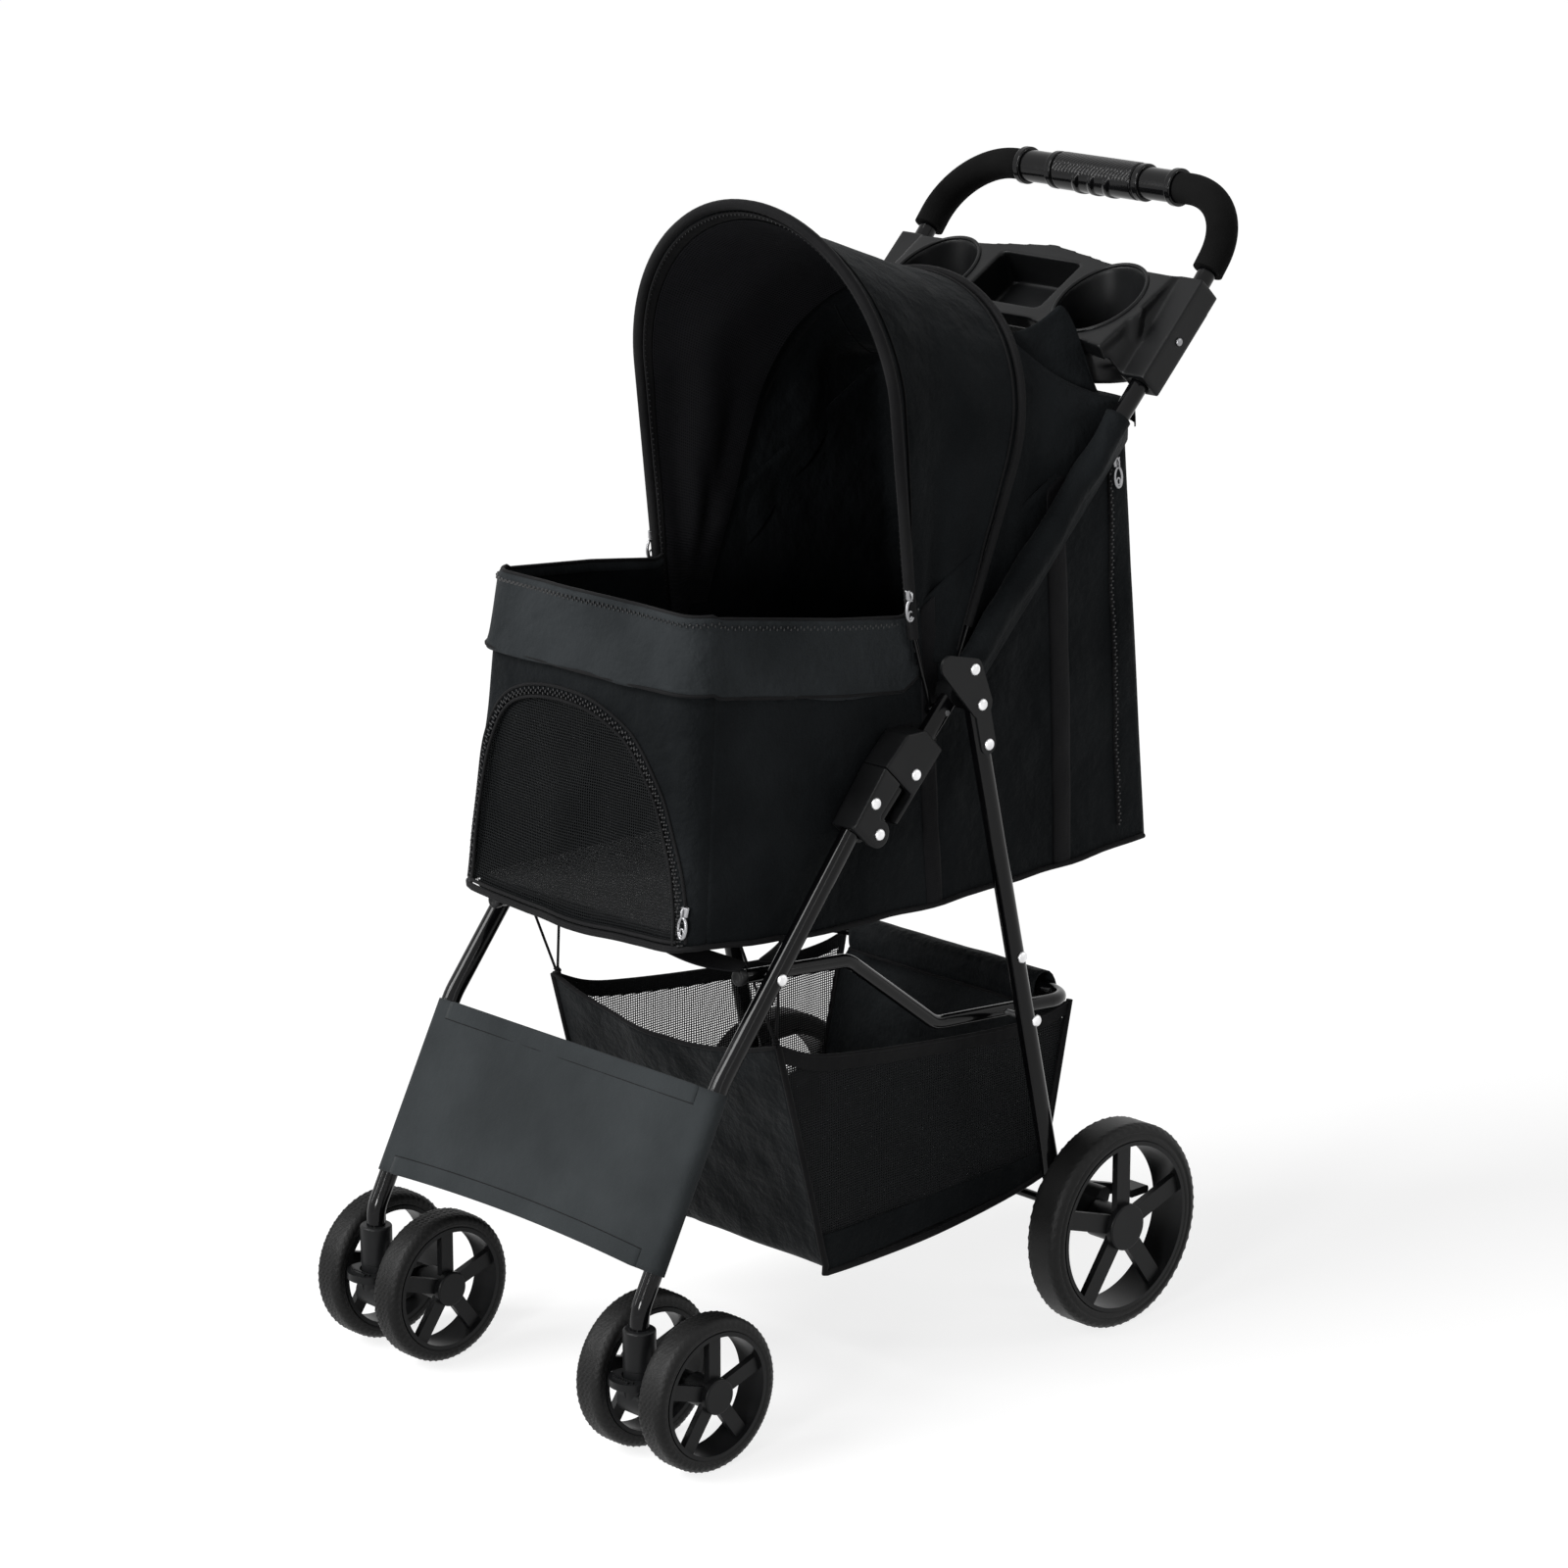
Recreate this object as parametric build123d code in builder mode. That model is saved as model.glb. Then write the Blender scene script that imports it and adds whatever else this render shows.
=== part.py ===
from build123d import *
import os
from math import atan2, cos, hypot, radians, sin, tan

# A four-wheeled folding pet stroller, in millimetres.
# +Z is up, the front faces -Y, +X is the pusher's left seen from the front.
# The origin is on the floor, midway between the front tyres and the hand grip.

os.makedirs("parts", exist_ok=True)

# ---------------------------------------------------------------- driving dimensions
overall_length = 742.0
wheelbase = 466.0
leg_x = 164.0            # centre plane of each front leg, its caster and the handle tube
tube_d = 16.0            # steel tube of the legs and the handle
tube_wall = 1.3
bar_d = 12.0             # bent bar that carries the storage basket
bar_bend_r = 28.0

fit_gap = 0.05           # radial running fit of pins and axles
slip_gap = 0.15          # radial gap where a tube passes through plastic
cloth_gap = 0.3          # least air between fabric and what it hangs beside
pivot_gap = 0.4          # air between moving pieces side by side

# wheels
front_wheel_d = 130.0
front_wheel_w = 28.0
front_rim_d = 106.0
front_hub_d = 26.0
front_cap_d = 30.0
front_spoke_w = 12.5
twin_spacing = 74.0      # between the mid planes of a caster's two wheels
caster_trail = 38.0
rear_wheel_d = 182.0
rear_wheel_w = 34.0
rear_rim_d = 150.0
rear_hub_d = 32.0
rear_cap_d = 41.0
rear_spoke_w = 16.0
rear_wheel_x = 209.5
spoke_count = 5
rim_wall = 3.5
spoke_t = 6.0
cap_t = 3.0
tyre_edge_r = 7.0
front_axle_d = 6.0
rear_axle_d = 8.0
hub_inset = 4.0          # spokes' and hub's outer face below the wheel's side
axle_end = 3.0           # how far an axle stands out of its hub's outer face, under the cap

# grip and handle
grip_d = 34.0
grip_len = 94.0
collar_len = 45.0
foam_d = 27.0
grip_z = 946.0
handle_corner_r = 62.0
kink_from_grip = (51.0, 64.0)     # how far ahead of and below the grip the handle turns steeper
handle_kink_r = 120.0

# side view stations (y, z) of the frame
leg_angle = 51.2                  # slope of the front leg above its knee, in degrees
knee_below_pivot = 96.0           # along the leg, from the storage bar's pivot down to the knee
knee_r = 60.0
leg_above_bar = 172.0             # along the leg, from the storage bar's pivot up to its end
ankle_z = 132.0                   # the front leg is upright below this height
ankle_r = 36.0
bar_pivot = (-194.8, 377.5)       # storage bar on the front leg
lock_above_bar = 144.0            # along the leg, from the storage bar's pivot to the lock pivot
side_by_side = 1.2                # air between the leg and the handle tube at the lock pivot
leg_pivot = (12.1, 571.3)         # rear leg plate on the handle tube
bar_rear_pivot_y = 84.0           # storage bar beside the rear leg
leg_foot = (119.0, 118.0)         # lower end of the rear leg
leg_above_pivot = 8.0
rear_leg_gap = 1.0                # between handle tube and rear leg, side by side

# hood
hood_over_cabin = 2.3             # hood outside the cabin on each side
hood_wall = 2.0
bow_d = 4.0
bow_gap = 0.5                     # air between the hood cloth and a bow
bow_pivot_s = 119.0               # front bow's pivot along the handle tube, from the lock pivot
front_bow_foot = (-31.0, 640.0)   # side view point where the front bow turns upright
front_bow_top = (-66.0, 966.0)
rear_bow_foot = (38.0, 633.6)
rear_bow_top = (144.0, 889.0)

# cabin
cabin_half_w = 147.5
cabin_nose_half_w = 138.0
cabin_wall = 3.0
cabin_front_foot = (-268.0, 409.0)
cabin_rim_front = (-240.0, 670.0)
cabin_rim_rear = (-36.0, 642.0)
cabin_back_top = (232.8, 784.0)
cabin_back_foot = (270.0, 403.0)
cabin_nose_len = 62.0             # length over which the cabin narrows at the front
door_half_w = 130.0
door_h = 170.0
door_t = 1.6
door_foot = 8.0                   # height of the door's hem above the cabin's bottom edge

# basket
basket_half_w = 138.0
basket_wall = 2.4
basket_front_top = (-166.0, 306.0)
basket_front_foot = (-110.0, 98.0)
basket_back_foot = (145.0, 116.0)
basket_back_top = (185.3, 289.0)
basket_hem = ((-80.0, 281.0), (101.0, 266.0))   # sagging upper edge of the side walls
basket_flap_half_w = 114.0        # rear wall folded forward over the bar
basket_flap_drop = 27.0

# storage bar corners (y, z)
bar_nose_len = 27.0               # how far the bar runs past its front pivot
bar_crest = (-98.0, 368.0)
bar_dip = (4.0, 291.0)
bar_back = (172.0, 277.0)
bar_x = 149.0

# foot panel, a cloth sleeve between the legs
panel_top_z = 296.0
panel_foot_z = 161.0
panel_t = 1.6
sleeve_t = 1.0

# tray
tray_tilt = 30.0
tray_from_kink = (44.0, 10.0)     # how far ahead of and below the kink the tray's reference point lies
tray_t = 3.0
tray_skirt = 15.0
cup_d = 76.0
cup_wall = 2.6
cup_x = 98.0
cup_u = -14.0                     # along the slope from the reference point
cup_depth = 66.0
box_half_w = 46.0
box_front_u = -38.0
box_back_u = 24.0
box_depth = 36.0
cheek_w = 27.0
cheek_h = 27.0
cheek_len = 104.0
cheek_start = 452.0               # along the handle tube from the lock pivot

# rivets and screws
rivet_d = 5.0
rivet_head_d = 10.0
rivet_head_h = 2.6
screw_d = 4.0
screw_head_d = 7.0
screw_head_h = 2.0

# ---------------------------------------------------------------- derived places
front_r = front_wheel_d / 2
rear_r = rear_wheel_d / 2
front_axle_y = -overall_length / 2 + front_r
rear_axle_y = front_axle_y + wheelbase
stem_y = front_axle_y - caster_trail
grip_y = overall_length / 2 - grip_d / 2
handle_kink = (grip_y - kink_from_grip[0], grip_z - kink_from_grip[1])
tray_mid = (handle_kink[0] - tray_from_kink[0], handle_kink[1] - tray_from_kink[1])
hood_half_w = cabin_half_w + hood_over_cabin
bow_half_w = hood_half_w + bow_gap + bow_d / 2
rear_leg_x = leg_x + tube_d + rear_leg_gap
tube_r = tube_d / 2
bar_r = bar_d / 2


def run(a, b):
    """Unit direction in side view from a to b."""
    length = hypot(b[0] - a[0], b[1] - a[1])
    return ((b[0] - a[0]) / length, (b[1] - a[1]) / length)


def along(point, way, distance):
    """Side-view point at a distance along a direction."""
    return (point[0] + way[0] * distance, point[1] + way[1] * distance)


def beside(point, way, distance):
    """Side-view point at a distance to the rear-and-below side of a rising direction."""
    return (point[0] + way[1] * distance, point[1] - way[0] * distance)


def at(x, point):
    """Side-view point set at a given X."""
    return (x, point[0], point[1])


leg_way = (cos(radians(leg_angle)), sin(radians(leg_angle)))
knee = along(bar_pivot, leg_way, -knee_below_pivot)
leg_top = along(bar_pivot, leg_way, leg_above_bar)
lock_pivot = beside(along(bar_pivot, leg_way, lock_above_bar), leg_way, tube_d + side_by_side)
handle_way = run(lock_pivot, handle_kink)
rear_leg_way = run(leg_pivot, leg_foot)


def save(piece, label):
    """Name a finished piece and write its STEP file."""
    piece.label = label
    export_step(piece, f"parts/{label}.step")


def mirrored(piece):
    """The same piece on the other side of the stroller."""
    return mirror(piece, about=Plane.YZ)


def save_pair(piece, label):
    """Write a piece made at +X and its mirror image."""
    save(piece, f"{label}_left")
    save(mirrored(piece), f"{label}_right")


def side_plane(x, point=(0.0, 0.0)):
    """Plane facing +X with its local axes along Y and Z."""
    return Plane(origin=at(x, point), x_dir=(0, 1, 0), z_dir=(1, 0, 0))


def swept_tube(corners, radii, outer_d, wall):
    """Tube along a path of straight runs joined by arcs."""
    with BuildPart() as tube:
        with BuildLine() as route:
            if len(corners) == 2:
                Line(*corners)
            else:
                FilletPolyline(*corners, radius=radii)
        start = Plane(origin=route.line @ 0, z_dir=route.line % 0)
        with BuildSketch(start):
            Circle(outer_d / 2)
            if wall:
                Circle(outer_d / 2 - wall, mode=Mode.SUBTRACT)
        sweep()
    return tube.part


def drilled(piece, holes, hole_d, reach=40.0):
    """Cross-drill a piece along X at side-view points."""
    x_mid = piece.bounding_box().center().X
    with BuildPart() as done:
        add(piece)
        for hole in holes:
            with BuildSketch(side_plane(x_mid, hole)):
                Circle(hole_d / 2)
            extrude(amount=reach / 2, both=True, mode=Mode.SUBTRACT)
    return done.part


def rivet(point, x_inner, x_outer):
    """Domed rivet whose head sits on the outer face, at +X."""
    with BuildPart() as pin:
        with BuildSketch(side_plane(x_inner, point)):
            Circle(rivet_d / 2)
        extrude(amount=x_outer - x_inner)
        with BuildSketch(side_plane(x_outer, point)):
            Circle(rivet_head_d / 2)
        extrude(amount=rivet_head_h)
        rim = pin.faces().sort_by(Axis.X)[-1].edges()
        fillet(rim, rivet_head_h * 0.9)
    return pin.part


# ---------------------------------------------------------------- wheels
def rim_part(x, axle, wheel_w, rim_d, hub_d, spoke_w, axle_d, face):
    """Moulded wheel centre: barrel, five flat bar spokes and hub; face is +1 or -1 outward."""
    rim_r = rim_d / 2
    with BuildPart() as rim:
        with BuildSketch(side_plane(x - wheel_w / 2, axle)):
            Circle(rim_r)
            Circle(rim_r - rim_wall, mode=Mode.SUBTRACT)
        extrude(amount=wheel_w)
        with BuildSketch(side_plane(x + face * (wheel_w / 2 - hub_inset), axle)):
            with PolarLocations(0, spoke_count, start_angle=90):
                with Locations((rim_r / 2, 0)):
                    Rectangle(rim_r - rim_wall / 2, spoke_w)
            Circle(rim_r - rim_wall / 2, mode=Mode.INTERSECT)
        extrude(amount=-face * spoke_t)
        with BuildSketch(side_plane(x - face * wheel_w / 2, axle)):
            Circle(hub_d / 2)
        extrude(amount=face * (wheel_w - hub_inset))
        with BuildSketch(side_plane(x - wheel_w / 2 - 1.0, axle)):
            Circle(axle_d / 2 + fit_gap)
        extrude(amount=wheel_w + 2.0, mode=Mode.SUBTRACT)
    return rim.part


def tyre_part(x, axle, wheel_d, wheel_w, rim_d):
    """Solid foam tyre with a rounded tread, seated on the rim's barrel."""
    with BuildPart() as tyre:
        with BuildSketch(side_plane(x - wheel_w / 2, axle)):
            Circle(wheel_d / 2)
        extrude(amount=wheel_w)
        fillet(tyre.edges(), tyre_edge_r)
        with BuildSketch(side_plane(x - wheel_w / 2, axle)):
            Circle(rim_d / 2 + fit_gap)
        extrude(amount=wheel_w, mode=Mode.SUBTRACT)
    return tyre.part


def hub_cap(x, axle, cap_d, axle_d, face):
    """Round cap over the hub's outer face, hollow for the end of the axle."""
    with BuildPart() as cap:
        with BuildSketch(side_plane(x, axle)):
            Circle(cap_d / 2)
        extrude(amount=face * (axle_end + cap_t))
        outer = cap.faces().sort_by(Axis.X)[-1 if face > 0 else 0]
        fillet(outer.edges(), 1.8)
        with BuildSketch(side_plane(x, axle)):
            Circle(axle_d / 2 + 1.0)
        extrude(amount=face * (axle_end + 0.5), mode=Mode.SUBTRACT)
    return cap.part


front_axle = (front_axle_y, front_r)
rear_axle = (rear_axle_y, rear_r)
front_inner_x = leg_x - twin_spacing / 2
front_outer_x = leg_x + twin_spacing / 2

for place, wheel_x, face in (("inner", front_inner_x, -1), ("outer", front_outer_x, 1)):
    rim = rim_part(wheel_x, front_axle, front_wheel_w, front_rim_d, front_hub_d, front_spoke_w,
                   front_axle_d, face)
    cap_x = wheel_x + face * (front_wheel_w / 2 - hub_inset)
    cap = hub_cap(cap_x, front_axle, front_cap_d, front_axle_d, face)
    with BuildPart() as capped_rim:
        add(rim)
        add(cap)
    save_pair(capped_rim.part, f"front_rim_{place}")
    tyre = tyre_part(wheel_x, front_axle, front_wheel_d, front_wheel_w, front_rim_d)
    save_pair(tyre, f"front_tyre_{place}")

rear_rim = rim_part(rear_wheel_x, rear_axle, rear_wheel_w, rear_rim_d, rear_hub_d, rear_spoke_w,
                    rear_axle_d, 1)
save_pair(rear_rim, "rear_rim")
save_pair(tyre_part(rear_wheel_x, rear_axle, rear_wheel_d, rear_wheel_w, rear_rim_d), "rear_tyre")
rear_cap = hub_cap(rear_wheel_x + rear_wheel_w / 2 - hub_inset, rear_axle, rear_cap_d, rear_axle_d, 1)
save_pair(rear_cap, "rear_hub_cap")

# ---------------------------------------------------------------- casters
fork_half_t = 13.0
fork_boss_r = 11.0
stem_r = 13.0
fork_top = 86.0
fork_belly_z = 62.0
stem_pin_r = 5.0
socket_r = 13.5
socket_foot = fork_top + pivot_gap
socket_top = 119.0
leg_seat = 104.0
lever_half_w = 20.5
lever_front = 26.5
lever_z = 77.0
lever_t = 6.0
lever_pin_r = 2.0
lever_air = 1.6
lever_ribs = 2
rib_pitch = 3.0
rib_len = 24.0
rib_t = 1.5
wheel_side_gap = 0.5


def caster_fork(x):
    """Tapered centre block between the twin wheels, with a round swivel head."""
    boss_half = twin_spacing / 2 - front_wheel_w / 2 - wheel_side_gap
    with BuildPart() as fork:
        with BuildSketch(side_plane(x - fork_half_t, front_axle)):
            Circle(fork_boss_r)
            with Locations((stem_y - front_axle_y, fork_belly_z - front_r - 3.0)):
                Circle(stem_r)
            make_hull()
        extrude(amount=2 * fork_half_t)
        with BuildSketch(Plane.XY.offset(fork_belly_z)):
            with Locations((x, stem_y)):
                Circle(stem_r)
        extrude(amount=fork_top - fork_belly_z)
        with BuildSketch(side_plane(x - boss_half, front_axle)):
            Circle(fork_boss_r - 2.0)
        extrude(amount=2 * boss_half)
        with BuildSketch(side_plane(x - boss_half - 1.0, front_axle)):
            Circle(front_axle_d / 2 + fit_gap)
        extrude(amount=2 * boss_half + 2.0, mode=Mode.SUBTRACT)
        with BuildSketch(Plane.XY.offset(fork_belly_z)):
            with Locations((x, stem_y)):
                Circle(stem_pin_r + fit_gap)
        extrude(amount=fork_top, mode=Mode.SUBTRACT)
        with BuildSketch(side_plane(x - lever_half_w, (stem_y, lever_z))):
            Circle(lever_pin_r + fit_gap)
        extrude(amount=2 * lever_half_w, mode=Mode.SUBTRACT)
        with BuildSketch(Plane.XY.offset(fork_belly_z)):
            with Locations((x, stem_y)):
                Circle(stem_pin_r + fit_gap)
        extrude(amount=fork_top, mode=Mode.SUBTRACT)
    return fork.part


def caster_pins(x):
    """Steel stem pin and the axle of the twin wheels."""
    pin_foot = fork_belly_z + 0.5
    axle_half = twin_spacing / 2 + front_wheel_w / 2 - hub_inset + axle_end
    with BuildPart() as pins:
        with BuildSketch(Plane.XY.offset(pin_foot)):
            with Locations((x, stem_y)):
                Circle(stem_pin_r)
        extrude(amount=leg_seat - pivot_gap - pin_foot)
        with BuildSketch(side_plane(x - axle_half, front_axle)):
            Circle(front_axle_d / 2)
        extrude(amount=2 * axle_half)
    return pins.part


def swivel_lever(x):
    """Oval ribbed lever round the swivel head; it rocks on two pins to lock the swivel."""
    with BuildPart() as lever:
        with BuildSketch(Plane.XY.offset(lever_z - lever_t / 2)):
            with Locations((x, stem_y - lever_front / 2 + stem_r / 2)):
                Ellipse(lever_half_w, lever_front / 2 + stem_r / 2)
            with Locations((x, stem_y)):
                Circle(stem_r + lever_air, mode=Mode.SUBTRACT)
            with Locations((x, stem_y + lever_front / 2)):
                Rectangle(2 * (fork_half_t + lever_air), lever_front, mode=Mode.SUBTRACT)
        extrude(amount=lever_t)
        with BuildSketch(Plane.XY.offset(lever_z + lever_t / 2)):
            for step in range(lever_ribs):
                with Locations((x, stem_y - stem_r - lever_air - rib_pitch * (step + 1))):
                    Rectangle(rib_len - 2 * rib_pitch * step, rib_t)
        extrude(amount=rib_t)
        for side in (-1, 1):
            with BuildSketch(side_plane(x + side * (stem_r - 3.0), (stem_y, lever_z))):
                Circle(lever_pin_r)
            extrude(amount=side * (lever_half_w - stem_r + 1.0))
    return lever.part


def caster_socket(x):
    """Collar on the foot of the front leg that takes the caster's stem pin."""
    with BuildPart() as socket:
        with BuildSketch(Plane.XY.offset(socket_foot)):
            with Locations((x, stem_y)):
                Circle(socket_r)
        extrude(amount=socket_top - socket_foot)
        fillet(socket.edges().group_by(Axis.Z)[-1], 2.0)
        with BuildSketch(Plane.XY.offset(socket_foot)):
            with Locations((x, stem_y)):
                Circle(stem_pin_r + fit_gap)
        extrude(amount=leg_seat - socket_foot, mode=Mode.SUBTRACT)
        with BuildSketch(Plane.XY.offset(leg_seat)):
            with Locations((x, stem_y)):
                Circle(tube_r + slip_gap)
        extrude(amount=socket_top, mode=Mode.SUBTRACT)
    return socket.part


save_pair(caster_fork(leg_x), "caster_fork")
save_pair(caster_pins(leg_x), "caster_pins")
save_pair(swivel_lever(leg_x), "swivel_lever")
socket = caster_socket(leg_x)
save(Compound(children=[socket, mirrored(socket)]), "caster_sockets")

# ---------------------------------------------------------------- front legs and lock
base_half_t = 13.5
base_foot_s = -13.0           # along the handle tube, from the lock pivot
base_top_s = 44.0
base_front = 10.8             # front face, ahead of the leg's centre line
ear_r = 12.0
latch_gap = 0.5
latch_top_s = 92.0
latch_skirt_s = 17.0
latch_back = 13.0
latch_rivet_s = 59.0
handle_end_r = tube_r + 0.3
lock_rivet_up = 18.0          # along the leg, above the lock pivot
lock_rivet_ahead = 3.0


def on_handle(s, n):
    """Side-view point at s along the handle tube from the lock pivot and n behind its centre line."""
    return beside(along(lock_pivot, handle_way, s), handle_way, n)


def leg_offset(s):
    """How far ahead of the handle tube's centre line the leg's centre line runs at s."""
    turn = radians(leg_angle) - atan2(handle_way[1], handle_way[0])
    return (tube_d + side_by_side) / cos(turn) + s * tan(turn)


def local(points, origin):
    """Side-view points taken from an origin."""
    return [(p[0] - origin[0], p[1] - origin[1]) for p in points]


front_rivet = beside(along(bar_pivot, leg_way, lock_above_bar + lock_rivet_up), leg_way, -lock_rivet_ahead)
latch_rivet = on_handle(latch_rivet_s, 0.0)
leg_corners = [at(leg_x, (stem_y, leg_seat)), at(leg_x, (stem_y, ankle_z)), at(leg_x, knee), at(leg_x, leg_top)]
front_leg = swept_tube(leg_corners, [ankle_r, knee_r], tube_d, tube_wall)
front_leg = drilled(front_leg, [bar_pivot, front_rivet], rivet_d + 2 * fit_gap)
save_pair(front_leg, "front_leg")


def lock_base():
    """Plastic housing on the top of the front leg with two ears round the handle tube's end."""
    corners = [
        on_handle(base_foot_s, -leg_offset(base_foot_s) - base_front),
        on_handle(base_top_s, -leg_offset(base_top_s) - base_front),
        on_handle(base_top_s, -tube_r - latch_gap),
        on_handle(ear_r, -tube_r - latch_gap),
        on_handle(ear_r / 2, 0.0),
        on_handle(base_foot_s, 0.0),
    ]
    with BuildPart() as base:
        with BuildSketch(side_plane(leg_x - base_half_t, lock_pivot)):
            with BuildLine():
                Polyline(*local(corners, lock_pivot), close=True)
            make_face()
            Circle(ear_r)
        extrude(amount=2 * base_half_t)
        front = base.faces().sort_by(Axis.Y)[0].edges().filter_by(Axis.X, reverse=True)
        fillet(front.sort_by(Axis.X)[-1], 5.0)
        slot_end = [
            on_handle(latch_top_s, -tube_r - latch_gap),
            on_handle(0.0, -tube_r - latch_gap),
            on_handle(-40.0, -tube_r - latch_gap),
            on_handle(-40.0, 60.0),
            on_handle(latch_top_s, 60.0),
        ]
        with BuildSketch(side_plane(leg_x - tube_r - pivot_gap, lock_pivot)):
            with BuildLine():
                Polyline(*local(slot_end, lock_pivot), close=True)
            make_face()
        extrude(amount=2 * (tube_r + pivot_gap), mode=Mode.SUBTRACT)
        leg_from = along(bar_pivot, leg_way, lock_above_bar - 60.0)
        bore = Plane(origin=at(leg_x, leg_from), z_dir=(0, leg_way[0], leg_way[1]))
        with BuildSketch(bore):
            Circle(tube_r + slip_gap)
        extrude(amount=60.0 + leg_above_bar - lock_above_bar + slip_gap, mode=Mode.SUBTRACT)
    return drilled(base.part, [lock_pivot, front_rivet], rivet_d + 2 * fit_gap)


save_pair(lock_base(), "lock_base")

base_face = leg_x + base_half_t
leg_rivet_solids = [
    rivet(lock_pivot, leg_x - base_half_t, base_face),
    rivet(front_rivet, leg_x - base_half_t, base_face),
    rivet(bar_pivot, bar_x - bar_r - 1.5, leg_x + tube_r),
]
leg_rivet_solids = leg_rivet_solids + [mirrored(pin) for pin in leg_rivet_solids]
save(Compound(children=leg_rivet_solids), "front_rivets")


def foot_panel():
    """Cloth panel across the front, sewn into a sleeve round each leg."""
    ankle = (stem_y, ankle_z)
    shin = run(ankle, knee)
    low = along(ankle, shin, (panel_foot_z - ankle_z) / shin[1])
    length = (panel_top_z - panel_foot_z) / shin[1]
    sleeve_in = tube_r + slip_gap
    with BuildPart() as panel:
        for side in (-1, 1):
            with BuildSketch(Plane(origin=at(side * leg_x, low), x_dir=(1, 0, 0), z_dir=(0, *shin))):
                Circle(sleeve_in + sleeve_t)
            extrude(amount=length)
        with BuildSketch(Plane(origin=at(0, low), x_dir=(1, 0, 0), z_dir=(0, *shin))):
            with Locations((0, panel_t / 2 - sleeve_in - sleeve_t)):
                Rectangle(2 * leg_x, panel_t)
        extrude(amount=length)
        for side in (-1, 1):
            with BuildSketch(Plane(origin=at(side * leg_x, low), x_dir=(1, 0, 0), z_dir=(0, *shin))):
                Circle(sleeve_in)
            extrude(amount=length, mode=Mode.SUBTRACT)
    return panel.part


save(foot_panel(), "foot_panel")

# ---------------------------------------------------------------- rear legs, axle and brakes
bracket_half_t = 9.5
bracket_leg_r = 12.5
bracket_axle_r = 14.0
brake_pivot = (rear_axle_y + 11.0, rear_r + 17.0)
brake_boss_r = 7.0
brake_pin_r = 3.0
pedal_reach = 46.0
pedal_w = 24.0
pedal_len = 24.0
pedal_t = 7.0
brake_arm_t = 6.0
cover_t = 2.4
hood_rivet_up = 31.0
lower_rivet_down = 36.0
upper_knob = (68.7, 343.9)        # rivet that holds the basket's loop on the rear leg

hood_rivet = (leg_pivot[0] - 9.0, leg_pivot[1] + hood_rivet_up)
lower_rivet = along(leg_pivot, rear_leg_way, lower_rivet_down)
knob = along(leg_pivot, rear_leg_way, (leg_pivot[1] - upper_knob[1]) / -rear_leg_way[1])
dip_way = run(bar_dip, bar_back)
bar_rear_pivot = along(bar_dip, dip_way, (bar_rear_pivot_y - bar_dip[0]) / dip_way[0])
rear_leg_top = along(leg_pivot, rear_leg_way, -leg_above_pivot)

rear_leg = swept_tube([at(rear_leg_x, leg_foot), at(rear_leg_x, rear_leg_top)], None, tube_d, tube_wall)
rear_leg = drilled(rear_leg, [leg_pivot, lower_rivet, knob, bar_rear_pivot], rivet_d + 2 * fit_gap)
save_pair(rear_leg, "rear_leg")

cover_x = rear_leg_x + tube_r + slip_gap


def hinge_cover():
    """Flat cover over the top of the rear leg that carries the hood's root."""
    with BuildPart() as cover:
        with BuildSketch(side_plane(cover_x, leg_pivot)):
            with Locations((-38.0, 38.0), (-9.0, hood_rivet_up)):
                Circle(9.0)
            with Locations((0, 0)):
                Circle(12.0)
            make_hull()
        extrude(amount=cover_t)
        with BuildSketch(side_plane(cover_x, leg_pivot)):
            with Locations((0, 0), (lower_rivet[0] - leg_pivot[0], lower_rivet[1] - leg_pivot[1])):
                Circle(8.5)
            make_hull()
        extrude(amount=cover_t)
    return drilled(cover.part, [leg_pivot, hood_rivet, lower_rivet], rivet_d + 2 * fit_gap)


cover = hinge_cover()
save(Compound(children=[cover, mirrored(cover)]), "hinge_covers")


def axle_bracket():
    """Moulded bracket from the rear leg's foot back to the axle, with the brake's ear."""
    with BuildPart() as bracket:
        with BuildSketch(side_plane(rear_leg_x - bracket_half_t, rear_axle)):
            Circle(bracket_axle_r)
            with Locations((leg_foot[0] - rear_axle_y, leg_foot[1] - rear_r)):
                Circle(bracket_leg_r)
            make_hull()
        extrude(amount=2 * bracket_half_t)
        with BuildSketch(side_plane(rear_leg_x - bracket_half_t, rear_axle)):
            Circle(bracket_axle_r - 2.0)
            with Locations((brake_pivot[0] - rear_axle_y, brake_pivot[1] - rear_r)):
                Circle(brake_boss_r)
            make_hull()
        extrude(amount=2 * bracket_half_t)
        with BuildSketch(side_plane(rear_leg_x - bracket_half_t, rear_axle)):
            Circle(rear_axle_d / 2 + fit_gap)
            with Locations((brake_pivot[0] - rear_axle_y, brake_pivot[1] - rear_r)):
                Circle(brake_pin_r + fit_gap)
        extrude(amount=2 * bracket_half_t, mode=Mode.SUBTRACT)
        up = Plane(origin=at(rear_leg_x, leg_foot), z_dir=(0, -rear_leg_way[0], -rear_leg_way[1]))
        with BuildSketch(up.offset(-slip_gap)):
            Circle(tube_r + slip_gap)
        extrude(amount=60.0, mode=Mode.SUBTRACT)
    return bracket.part


bracket = axle_bracket()
save(Compound(children=[bracket, mirrored(bracket)]), "axle_brackets")

axle_half = rear_wheel_x + rear_wheel_w / 2 - hub_inset + axle_end
with BuildPart() as axle:
    with BuildSketch(side_plane(-axle_half, rear_axle)):
        Circle(rear_axle_d / 2)
    extrude(amount=2 * axle_half)
save(axle.part, "rear_axle")


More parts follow.
